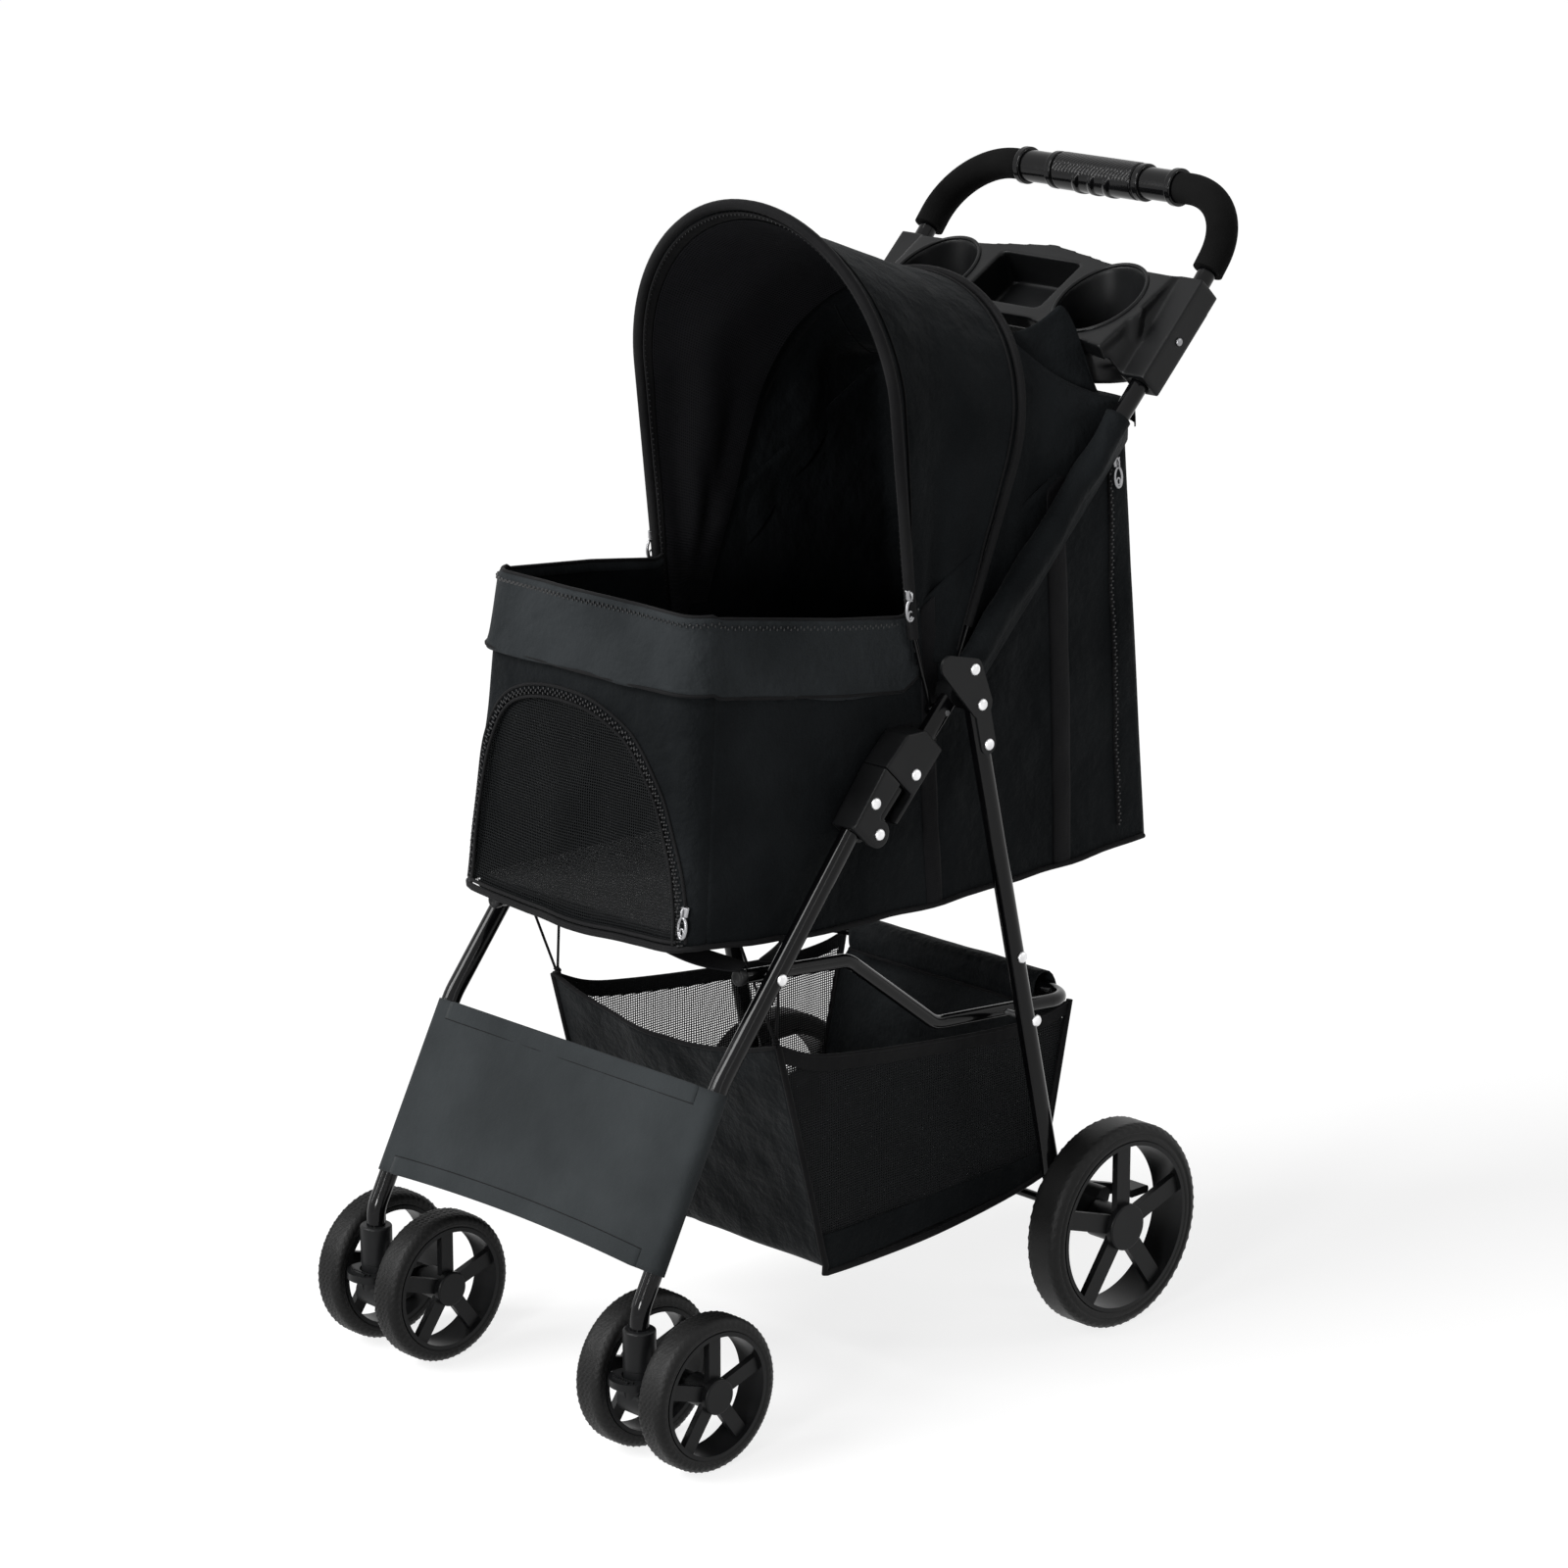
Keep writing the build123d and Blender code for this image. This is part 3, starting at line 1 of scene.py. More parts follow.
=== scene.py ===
from math import cos, hypot, pi, radians, sin

import bpy
import numpy as np
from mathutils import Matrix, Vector, noise
from mathutils.bvhtree import BVHTree


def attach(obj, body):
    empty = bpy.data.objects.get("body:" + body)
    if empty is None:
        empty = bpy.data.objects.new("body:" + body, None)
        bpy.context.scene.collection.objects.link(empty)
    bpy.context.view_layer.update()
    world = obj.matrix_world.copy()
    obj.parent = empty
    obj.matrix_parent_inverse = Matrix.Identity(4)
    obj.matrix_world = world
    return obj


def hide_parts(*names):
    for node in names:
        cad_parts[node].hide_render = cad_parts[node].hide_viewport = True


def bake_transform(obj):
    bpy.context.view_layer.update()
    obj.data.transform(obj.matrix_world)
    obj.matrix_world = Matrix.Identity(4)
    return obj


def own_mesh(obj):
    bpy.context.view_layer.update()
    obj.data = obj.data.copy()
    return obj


# Looks of the folding pet stroller. Shapes are given in millimetres and built in metres.
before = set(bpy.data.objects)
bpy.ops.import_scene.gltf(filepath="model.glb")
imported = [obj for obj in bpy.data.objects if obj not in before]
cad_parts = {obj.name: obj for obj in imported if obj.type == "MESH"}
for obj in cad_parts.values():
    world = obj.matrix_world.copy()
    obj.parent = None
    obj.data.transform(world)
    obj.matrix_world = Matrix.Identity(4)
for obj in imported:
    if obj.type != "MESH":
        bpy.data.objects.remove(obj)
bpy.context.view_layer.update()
MM = 0.001

# ---------------------------------------------------------------- measures, in millimetres
leg_x = 164.0
tube_r = 8.0
shin = (0.462, 0.887)                    # side view (y, z) direction of the front leg's shin
shin_foot = (-344.0, 132.0)
panel_foot_z, panel_top_z = 161.0, 296.0

face_foot = (-268.0, 409.0)              # cabin's front face in side view, foot and slope
face_way = (0.1067, 0.9943)
face_len = 262.5
face_half = 117.0                        # flat half width of the front face, before its corners
face_corner_r = 21.0
side_foot_y, side_top_y = -247.0, -220.0      # where the side walls start, at their foot and top
side_foot_end, side_top_end = 264.0, 227.0    # and where they end
face_taper = 0.10                        # how much narrower the rim is than the foot
cabin_half = 146.5
cabin_back_foot = (270.0, 403.0)
cabin_back_top = (232.8, 784.0)
cabin_back_r = 8.0
floor_front = (-268.0, 409.0)            # front edge of the cabin's floor
floor_run, floor_drop = 538.0, 6.0
floor_rise = -floor_drop / floor_run

handle_way = (0.699, 0.715)
lock_pivot = (-91.16, 478.95)

hood_hinge = (-6.0, 592.0)
front_root, front_up, front_reach = (-20.0, 549.1), (-0.110, 0.994), 419.4
rear_root, rear_up, rear_reach = (12.0, 571.0), (0.3834, 0.9236), 344.3

bow_half = 152.3
hood_half = 150.0
hood_wall_gap = 2.5                      # cloth below the bow's centre line

grip_centre = (354.0, 946.0)
cup_centre, cup_rim_r = (98.0, 246.9), 39.7
bar_nose, bar_nose_way = (-194.8, 377.5), (-0.9952, 0.0977)
bar_half, bar_nose_len = 149.0, 27.0
cord_foot = (134.0, -164.9, 306.4)       # basket tip, where both cords of a side end
cord_top_z = 402.0

front_axle, rear_axle = (-306.0, 65.0), (160.0, 91.0)
front_wheel_r, front_wheel_w, front_rim_r = 65.0, 28.0, 53.0
rear_wheel_r, rear_wheel_w, rear_rim_r = 91.0, 34.0, 75.0
twin_offset, rear_wheel_x = 37.0, 209.5
tyre_edge_r = 7.0

sides = ((1, "left"), (-1, "right"))

# ---------------------------------------------------------------- small geometry helpers


def along(point, way, distance):
    """Side-view point at a distance along a direction."""
    return (point[0] + way[0] * distance, point[1] + way[1] * distance)


def on_handle(s, n=0.0):
    """Side-view point at s along the handle tube and n behind its centre line."""
    y, z = along(lock_pivot, handle_way, s)
    return (y + handle_way[1] * n, z - handle_way[0] * n)


def floor_z(y, base=floor_front[1]):
    """Height at y of the cabin's sloping floor, or of a level above it given at the floor's front edge."""
    return base + (y - floor_front[0]) * floor_rise


def smooth(low, high, value):
    """0 below low, 1 above high, easing between."""
    t = min(max((value - low) / (high - low), 0.0), 1.0)
    return t * t * (3 - 2 * t)


def ripple(point, scale, seed=0.0):
    """Seeded noise from -1 to 1 at a point in millimetres."""
    p = Vector(point) / scale
    return noise.noise(p + Vector((seed, seed * 1.7, seed * 0.3)))


def crumple(point, scale, seed=0.0):
    """Sharp-crested folds from 0 to 1 at a point in millimetres."""
    bend = Vector(point) + Vector((1, 1, 1)) * 9.0 * ripple(point, scale * 0.8, seed + 3.0)
    return (1 - min(abs(ripple(bend, scale, seed)) * 2.6, 1.0)) ** 1.6


def spline(points, count):
    """Evenly spaced points on a smooth line through the given ones."""
    pts = np.asarray(points, float)
    ends = np.vstack([2 * pts[0] - pts[1], pts, 2 * pts[-1] - pts[-2]])
    fine = []
    for a, b, c, d in zip(ends, ends[1:], ends[2:], ends[3:]):
        for t in np.linspace(0, 1, 24, endpoint=False):
            fine.append(0.5 * (2 * b + (c - a) * t + (2 * a - 5 * b + 4 * c - d) * t * t
                               + (3 * b - a - 3 * c + d) * t ** 3))
    return evenly(np.vstack([fine, pts[-1:]]), count)


def evenly(points, count):
    """The same polyline resampled to evenly spaced points."""
    pts = np.asarray(points, float)
    run = np.concatenate([[0], np.cumsum(np.linalg.norm(np.diff(pts, axis=0), axis=1))])
    wanted = np.linspace(0, run[-1], count)
    return np.column_stack([np.interp(wanted, run, pts[:, k]) for k in range(pts.shape[1])])


def length_of(points):
    """Length of a polyline."""
    return float(np.linalg.norm(np.diff(np.asarray(points, float), axis=0), axis=1).sum())


# ---------------------------------------------------------------- mesh helpers


def place(name, mesh, material):
    """A new object of a mesh, smooth shaded."""
    obj = bpy.data.objects.new(name, mesh)
    bpy.context.scene.collection.objects.link(obj)
    mesh.materials.append(material)
    mesh.polygons.foreach_set("use_smooth", [True] * len(mesh.polygons))
    return obj


def settle(obj):
    """Apply the object's modifiers to its mesh."""
    graph = bpy.context.evaluated_depsgraph_get()
    mesh = bpy.data.meshes.new_from_object(obj.evaluated_get(graph), preserve_all_data_layers=True,
                                           depsgraph=graph)
    obj.modifiers.clear()
    obj.data = mesh
    return obj


def surface(name, grid, material, thickness=0.0, levels=1, loop=False, uv=None):
    """Fabric surface over rows of points, with UVs in metres along its rows and columns."""
    grid = np.asarray(grid, float)
    rows, cols = grid.shape[:2]
    last = cols if loop else cols - 1
    faces = [(r * cols + c, r * cols + (c + 1) % cols, (r + 1) * cols + (c + 1) % cols, (r + 1) * cols + c)
             for r in range(rows - 1) for c in range(last)]
    mesh = bpy.data.meshes.new(name)
    mesh.from_pydata((grid.reshape(-1, 3) * MM).tolist(), [], faces)
    if uv is None:
        across = np.linalg.norm(np.diff(grid, axis=1), axis=2).mean(0)
        down = np.linalg.norm(np.diff(grid, axis=0), axis=2).mean(1)
        u, v = np.meshgrid(np.concatenate([[0], np.cumsum(across)]), np.concatenate([[0], np.cumsum(down)]))
        uv = np.dstack([u, v])
    flat = np.asarray(uv, float).reshape(-1, 2) * MM
    layer = mesh.uv_layers.new(name="cloth")
    index = np.zeros(len(mesh.loops), int)
    mesh.loops.foreach_get("vertex_index", index)
    layer.data.foreach_set("uv", flat[index].ravel())
    mesh.validate()
    obj = place(name, mesh, material)
    if levels:
        sub = obj.modifiers.new("smooth", "SUBSURF")
        sub.levels = sub.render_levels = levels
    if thickness:
        thick = obj.modifiers.new("thickness", "SOLIDIFY")
        thick.thickness = thickness * MM
        thick.offset = 0.0
    return settle(obj)


def rope(name, points, radius, material, closed=False):
    """Round cord, piping or tube along points, as a mesh."""
    curve = bpy.data.curves.new(name, "CURVE")
    curve.dimensions = "3D"
    curve.bevel_depth = radius * MM
    curve.bevel_resolution = 3
    curve.use_fill_caps = True
    run = curve.splines.new("POLY")
    run.points.add(len(points) - 1)
    for p, q in zip(run.points, points):
        p.co = (q[0] * MM, q[1] * MM, q[2] * MM, 1)
    run.use_cyclic_u = closed
    holder = bpy.data.objects.new(name, curve)
    bpy.context.scene.collection.objects.link(holder)
    graph = bpy.context.evaluated_depsgraph_get()
    mesh = bpy.data.meshes.new_from_object(holder.evaluated_get(graph))
    bpy.data.objects.remove(holder)
    mesh.materials.clear()
    return place(name, mesh, material)


def zip_teeth(name, points, outward, material, pitch=3.0, size=(1.5, 2.4, 1.3)):
    """Two rows of interlocked teeth along a line; outward gives each point's surface normal."""
    count = max(int(length_of(points) / pitch), 2)
    path = evenly(np.hstack([np.asarray(points, float), np.asarray(outward, float)]), count)
    verts, faces = [], []
    ring = [(-1, -1), (1, -1), (1, 1), (-1, 1)]
    corners = [(a, b, -1) for a, b in ring] + [(a, b, 1) for a, b in ring]
    quads = [(0, 3, 2, 1), (4, 5, 6, 7), (0, 1, 5, 4), (1, 2, 6, 5), (2, 3, 7, 6), (3, 0, 4, 7)]
    for i in range(count):
        here, up = path[i, :3], path[i, 3:] / max(np.linalg.norm(path[i, 3:]), 1e-9)
        ahead = path[min(i + 1, count - 1), :3] - path[max(i - 1, 0), :3]
        ahead = ahead / max(np.linalg.norm(ahead), 1e-9)
        side = np.cross(up, ahead)
        shift = 0.9 if i % 2 else -0.9
        first = len(verts)
        for a, b, c in corners:
            taper = 0.75 if c > 0 else 1.0
            verts.append(here + ahead * a * size[0] / 2 * taper + side * (b * size[1] / 2 * taper + shift)
                         + up * c * size[2] / 2)
        faces += [tuple(first + k for k in q) for q in quads]
    mesh = bpy.data.meshes.new(name)
    mesh.from_pydata((np.array(verts) * MM).tolist(), [], faces)
    obj = place(name, mesh, material)
    mesh.polygons.foreach_set("use_smooth", [False] * len(mesh.polygons))
    return obj


def join(name, pieces):
    """Join pieces into one object."""
    bpy.ops.object.select_all(action="DESELECT")
    for piece in pieces:
        piece.select_set(True)
    bpy.context.view_layer.objects.active = pieces[0]
    bpy.ops.object.join()
    pieces[0].name = name
    return pieces[0]


# ---------------------------------------------------------------- materials


def shader(name, **sockets):
    """New node material; constant values go straight on the shader's sockets."""
    material = bpy.data.materials.new(name)
    material.use_nodes = True
    bsdf = material.node_tree.nodes["Principled BSDF"]
    for socket, value in sockets.items():
        bsdf.inputs[socket.replace("_", " ")].default_value = value
    return material, material.node_tree, bsdf


def node(tree, kind, **settings):
    """New node with some of its properties and inputs set."""
    made = tree.nodes.new(kind)
    for key, value in settings.items():
        if hasattr(made, key):
            setattr(made, key, value)
        else:
            made.inputs[key.replace("_", " ")].default_value = value
    return made


def cloud(tree, coordinates, scale, detail, **settings):
    """Noise read at the given coordinates."""
    made = node(tree, "ShaderNodeTexNoise", Scale=scale, Detail=detail, **settings)
    tree.links.new(coordinates, made.inputs["Vector"])
    return made.outputs["Fac"]


def tone(tree, bsdf, dark, light, scale, coordinates):
    """Slow variation of the base colour between two tones."""
    ramp = node(tree, "ShaderNodeValToRGB")
    ramp.color_ramp.elements[0].position, ramp.color_ramp.elements[1].position = 0.35, 0.68
    ramp.color_ramp.elements[0].color = (*dark, 1)
    ramp.color_ramp.elements[1].color = (*light, 1)
    tree.links.new(cloud(tree, coordinates, scale, 4.0), ramp.inputs["Fac"])
    tree.links.new(ramp.outputs["Color"], bsdf.inputs["Base Color"])


def worn_gloss(tree, bsdf, low, high, scale, coordinates):
    """Roughness that wanders between two values, as handled surfaces do."""
    spread = node(tree, "ShaderNodeMapRange")
    spread.inputs["To Min"].default_value = low
    spread.inputs["To Max"].default_value = high
    tree.links.new(cloud(tree, coordinates, scale, 5.0), spread.inputs["Value"])
    tree.links.new(spread.outputs["Result"], bsdf.inputs["Roughness"])


def relief(tree, bsdf, height, strength, distance, under=None):
    """Bump from a height output, on top of an earlier bump."""
    bump = node(tree, "ShaderNodeBump", Strength=strength, Distance=distance)
    tree.links.new(height, bump.inputs["Height"])
    if under is not None:
        tree.links.new(under.outputs["Normal"], bump.inputs["Normal"])
    tree.links.new(bump.outputs["Normal"], bsdf.inputs["Normal"])
    return bump


def thread(tree, coordinates, pitch, direction):
    """Rows of threads a pitch apart, in metres."""
    wave = node(tree, "ShaderNodeTexWave", wave_type="BANDS", bands_direction=direction)
    wave.inputs["Scale"].default_value = 2 * pi / (20 * pitch)
    tree.links.new(coordinates, wave.inputs["Vector"])
    return wave.outputs["Fac"]


def cloth(name, dark, light, pitch, sheen, low, high, crease=0.5, specular=0.25):
    """Plain weave with slow shading, small creases and a soft sheen."""
    material, tree, bsdf = shader(name, Sheen_Weight=sheen, Sheen_Roughness=0.45, Specular_IOR_Level=specular)
    spots = node(tree, "ShaderNodeTexCoord")
    place_at, weave_at = spots.outputs["Object"], spots.outputs["UV"]
    tone(tree, bsdf, dark, light, 9.0, place_at)
    worn_gloss(tree, bsdf, low, high, 30.0, place_at)
    folds = relief(tree, bsdf, cloud(tree, place_at, 22.0, 6.0, Roughness=0.55), crease, 0.011)
    over = node(tree, "ShaderNodeMath", operation="MULTIPLY")
    tree.links.new(thread(tree, weave_at, pitch, "X"), over.inputs[0])
    tree.links.new(thread(tree, weave_at, pitch, "Y"), over.inputs[1])
    relief(tree, bsdf, over.outputs["Value"], 0.35, pitch * 0.3, folds)
    return material


def net(name, colour, pitch, strand, row_pitch=None):
    """Knitted mesh with real holes between its strands."""
    material, tree, bsdf = shader(name, Base_Color=(*colour, 1), Roughness=0.6, Specular_IOR_Level=0.08)
    spots = node(tree, "ShaderNodeTexCoord")
    across = thread(tree, spots.outputs["UV"], pitch, "X")
    down = thread(tree, spots.outputs["UV"], row_pitch or pitch, "Y")
    top = node(tree, "ShaderNodeMath", operation="MAXIMUM")
    tree.links.new(across, top.inputs[0])
    tree.links.new(down, top.inputs[1])
    solid = node(tree, "ShaderNodeMapRange", clamp=True)
    solid.inputs["From Min"].default_value = 1.0 - strand - 0.06
    solid.inputs["From Max"].default_value = 1.0 - strand + 0.06
    tree.links.new(top.outputs["Value"], solid.inputs["Value"])
    tree.links.new(solid.outputs["Result"], bsdf.inputs["Alpha"])
    relief(tree, bsdf, top.outputs["Value"], 0.6, pitch * 0.3)
    return material


def moulded(name, dark, light, low, high, grain, specular=0.5):
    """Moulded plastic or foam: fine grain, slow tone and uneven gloss."""
    material, tree, bsdf = shader(name, Specular_IOR_Level=specular)
    spots = node(tree, "ShaderNodeTexCoord").outputs["Object"]
    tone(tree, bsdf, dark, light, 14.0, spots)
    worn_gloss(tree, bsdf, low, high, 45.0, spots)
    relief(tree, bsdf, cloud(tree, spots, grain[0], 2.0), grain[1], grain[2])
    return material


def paint(name):
    """Glossy black enamel on steel tube, with faint orange peel and rubbed patches."""
    material, tree, bsdf = shader(name, Specular_IOR_Level=0.2)
    spots = node(tree, "ShaderNodeTexCoord").outputs["Object"]
    tone(tree, bsdf, (0.0015, 0.0015, 0.0018), (0.0035, 0.0035, 0.004), 20.0, spots)
    worn_gloss(tree, bsdf, 0.07, 0.17, 24.0, spots)
    relief(tree, bsdf, cloud(tree, spots, 260.0, 1.0), 0.06, 0.0006)
    return material


def metal(name, colour, low, high):
    """Plated steel with fine handling marks."""
    material, tree, bsdf = shader(name, Metallic=1.0)
    spots = node(tree, "ShaderNodeTexCoord").outputs["Object"]
    tone(tree, bsdf, tuple(c * 0.75 for c in colour), colour, 120.0, spots)
    worn_gloss(tree, bsdf, low, high, 300.0, spots)
    relief(tree, bsdf, cloud(tree, spots, 900.0, 3.0), 0.1, 0.0003)
    return material


# cloth: dark and light tone, thread pitch in metres, sheen, roughness from and to, crease, specular
black_cloth = cloth("black_oxford_cloth", (0.0046, 0.0054, 0.0060), (0.0115, 0.0130, 0.0142),
                    0.0009, 0.01, 0.55, 0.75, 0.9, 0.03)
basket_cloth = cloth("black_basket_cloth", (0.0055, 0.0063, 0.0070), (0.0140, 0.0158, 0.0170),
                     0.0009, 0.01, 0.4, 0.6, 0.9, 0.04)
# painted light: the collar is the same black cloth as the walls, given a lighter tone as a painted highlight
# for the light on its upturned, flared band
collar_painted_light_cloth = cloth("painted_light_black_collar", (0.016, 0.0182, 0.0196), (0.029, 0.0324, 0.0348),
                     0.0009, 0.02, 0.5, 0.7, 0.9, 0.03)
trim_cloth = cloth("black_binding_tape", (0.005, 0.005, 0.0055), (0.012, 0.012, 0.0125),
                   0.0007, 0.02, 0.5, 0.68, 0.25, 0.05)
webbing = cloth("black_webbing", (0.004, 0.004, 0.0045), (0.008, 0.008, 0.009),
                0.0018, 0.02, 0.5, 0.68, 0.15, 0.05)
grey_cloth = cloth("charcoal_canvas", (0.021, 0.0238, 0.0254), (0.032, 0.0361, 0.0384),
                   0.0013, 0.06, 0.8, 0.95, 0.35, 0.1)
mat_cloth = cloth("black_mat_cloth", (0.008, 0.008, 0.009), (0.014, 0.014, 0.015),
                  0.0012, 0.2, 0.8, 0.95, 0.3)
# net: colour, pitch of its strands in metres, their share of it, and the pitch of its rows
door_net = net("black_door_mesh", (0.0035, 0.004, 0.0044), 0.0023, 0.34)
liner_net = net("black_liner_mesh", (0.016, 0.016, 0.018), 0.0024, 0.50)
basket_net = net("black_basket_mesh", (0.005, 0.0055, 0.006), 0.0026, 0.52, 0.0022)
enamel = paint("black_enamel")
# moulded: dark and light tone, roughness from and to, grain as scale, strength and distance, specular
satin = moulded("satin_black_plastic", (0.004, 0.0042, 0.0045), (0.008, 0.0083, 0.0088),
                0.3, 0.46, (700.0, 0.12, 0.0004), 0.15)
gloss = moulded("gloss_black_plastic", (0.002, 0.002, 0.0023), (0.0045, 0.0045, 0.005),
                0.1, 0.2, (300.0, 0.08, 0.0005), 0.2)
sponge = moulded("black_foam", (0.004, 0.004, 0.004), (0.009, 0.009, 0.009),
                 0.85, 1.0, (1500.0, 0.7, 0.0008), 0.05)
tread = moulded("black_tyre_foam", (0.004, 0.004, 0.004), (0.010, 0.010, 0.010),
                0.34, 0.52, (1100.0, 0.5, 0.0006), 0.15)
zip_metal = metal("dark_zip_metal", (0.34, 0.34, 0.35), 0.25, 0.45)
zip_plastic = moulded("black_zip_teeth", (0.004, 0.004, 0.0045), (0.008, 0.008, 0.009),
                      0.25, 0.4, (500.0, 0.1, 0.0003))
rivet_steel = metal("bright_rivet_steel", (0.92, 0.92, 0.93), 0.26, 0.44)

node_looks = {
    "front_leg": enamel, "rear_leg": enamel, "handle_tube": enamel, "storage_bar": enamel,
    "rear_axle": enamel, "hood_front_bow": enamel, "hood_rear_bow": enamel,
    "front_rivets": rivet_steel, "rear_rivets": rivet_steel, "latch_rivet": rivet_steel,
    "handle_screws": zip_metal, "caster_pins": rivet_steel,
    "foam_sleeve": sponge, "centre_grip": gloss, "grip_collars": gloss,
    "front_tyre": tread, "rear_tyre": tread, "door_zip_pull": zip_metal, "rear_zip_pull": zip_metal,
}


def dress_cad_nodes():
    """Give every CAD node its finish; the plastic parts share the satin one."""
    for name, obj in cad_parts.items():
        look = next((look for start, look in node_looks.items() if name.startswith(start)), satin)
        obj.data.materials.clear()
        obj.data.materials.append(look)


def moulded_copy(name, source, body, voxel, rounds):
    """A CAD part's own shape with its corners rounded off, as a moulding has them."""
    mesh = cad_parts[source].data.copy()
    mesh.materials.clear()
    copy = place(name, mesh, satin)
    blocks = copy.modifiers.new("even_mesh", "REMESH")
    blocks.mode, blocks.voxel_size, blocks.use_smooth_shade = "VOXEL", voxel * MM, True
    soften = copy.modifiers.new("round_corners", "SMOOTH")
    soften.factor, soften.iterations = 0.5, rounds
    settle(copy)
    copy.data.materials.clear()
    copy.data.materials.append(satin)
    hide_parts(source)
    rigid(copy, body)


def make_mouldings():
    """Tray, locks and latches with the soft corners of moulded plastic."""
    moulded_copy("moulded_tray", "cup_tray", "handle", 1.5, 9)
    for _, hand in sides:
        moulded_copy(f"moulded_lock_{hand}", f"lock_base_{hand}", "front_frame", 0.9, 14)
        moulded_copy(f"moulded_latch_{hand}", f"latch_{hand}", f"latch_body_{hand}", 0.9, 14)
    for name in ("caster_sockets", "axle_brackets", "hinge_covers", "pivot_saddles"):
        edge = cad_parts[name].modifiers.new("worn_edge", "BEVEL")
        edge.width, edge.segments, edge.limit_method, edge.angle_limit = 0.7 * MM, 2, "ANGLE", radians(40)


def cup_rims():
    """Rolled rims round the two cup wells, laid on the tray's own surface."""
    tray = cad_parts["cup_tray"]
    top = BVHTree.FromPolygons([tray.matrix_world @ v.co for v in tray.data.vertices],
                               [face.vertices[:] for face in tray.data.polygons])
    pieces = []
    above_all = 1100.0
    for side in (1, -1):
        line = []
        for a in np.linspace(0, 2 * pi, 72, endpoint=False):
            start = Vector((side * cup_centre[0] + cup_rim_r * cos(a), cup_centre[1] + cup_rim_r * sin(a),
                            above_all)) * MM
            line.append(tuple(top.ray_cast(start, Vector((0, 0, -1)))[0] / MM))
        pieces.append(rope(f"cup_rim_{side}", line, 1.9, satin, closed=True))
    rigid(join("cup_rims", pieces), "handle")


def bar_plugs():
    """End plugs of the storage bar."""
    pieces = []
    nose = Vector((0, *along(bar_nose, bar_nose_way, bar_nose_len)))
    way = Vector((0, *bar_nose_way))
    up = Vector((0, -way.z, way.y))
    profile = ((-6, 6.2), (-6, 7.0), (-1, 7.2), (0.2, 7.0), (0.9, 6.0), (0.9, 3.4), (0.2, 3.0), (0.2, 0.05))
    for side in (1, -1):
        rows = []
        for forward, r in profile:
            middle = nose + way * forward + Vector((side * bar_half, 0, 0))
            rows.append([tuple(middle + Vector((1, 0, 0)) * r * cos(a) + up * r * sin(a))
                         for a in np.linspace(0, 2 * pi, 24, endpoint=False)])
        pieces.append(surface(f"bar_plug_{side}", rows, satin, 0.0, loop=True))
    rigid(join("bar_plugs", pieces), "storage")


# ---------------------------------------------------------------- how pieces follow the frame


def rigid(obj, body):
    """A piece that stays as it is on its body."""
    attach(obj, body)


def soft(obj, body):
    """A fabric piece on a body, with its own copy of its mesh."""
    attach(obj, body)
    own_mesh(obj)
    return obj


# ---------------------------------------------------------------- cabin


def bottom_drop(x, y):
    """How far the cabin's bottom edge sags below its corners."""
    wave = 1 + 0.3 * ripple((x, y, 0), 42, 17.0)
    if abs(x) < 130 and y < -200:
        return 8.0 * wave * (1 - (x / 138.0) ** 2)
    return 11.0 * wave * sin(pi * min(max((y - floor_front[0]) / floor_run, 0.0), 1.0))


def face_point(a, v, out=0.0):
    """Point on the front wall: a is measured round its face and corners, v up its slope."""
    side = 1 if a >= 0 else -1
    flat = min(abs(a), face_half)
    turn = (abs(a) - flat) / face_corner_r
    narrow = 1 - face_taper * max(v, 0) / face_len
    x = side * (flat + face_corner_r * sin(min(turn, pi / 2))) * narrow
    back = face_corner_r * (1 - cos(min(turn, pi / 2))) + max(turn - pi / 2, 0) * face_corner_r
    bulge = 6.5 * cos(pi / 2 * min(abs(a) / face_half, 1)) * sin(pi * min(max(v / face_len, 0), 1)) ** 0.8
    wrinkle = (2.2 * ripple((x, 0, v), 60, 3.0) - 1.6 * crumple((x, 0, v * 0.6), 70, 6.0)) * smooth(0, 40, v)
    push = bulge + wrinkle + out
    y, z = along(face_foot, face_way, v)
    sag = bottom_drop(x, floor_front[0]) * (1 - smooth(0, 90, v))
    return (x + side * out * sin(min(turn, pi / 2)), y - push * face_way[1] * cos(min(turn, pi / 2)) + back,
            z + push * face_way[0] - sag)


# the door's arch on the front wall, as face_point's a and v
arch = [(-127, 4), (-127, 40), (-126, 85), (-120, 128), (-104, 158), (-70, 174), (-20, 179), (25, 174),
        (66, 154), (98, 119), (117, 76), (126, 32), (127.5, 4)]


def face_panel():
    """Front wall round the arched door, one continuous surface."""
    count = 73
    inner = spline(arch, count)
    edge_a = face_half + face_corner_r * pi / 2
    outer = []
    for i, (a, v) in enumerate(inner):
        share = i / (count - 1)
        if share < 0.3:
            outer.append((-edge_a, face_len * share / 0.3))
        elif share > 0.7:
            outer.append((edge_a, face_len * (1 - share) / 0.3))
        else:
            outer.append((-edge_a + 2 * edge_a * (share - 0.3) / 0.4, face_len))
    rows, uv = [], []
    for t in np.linspace(0, 1, 12):
        line = [(a + (p - a) * t, v + (q - v) * t) for (a, v), (p, q) in zip(inner, outer)]
        rows.append([face_point(a, v) for a, v in line])
        uv.append(line)
    return rows, uv


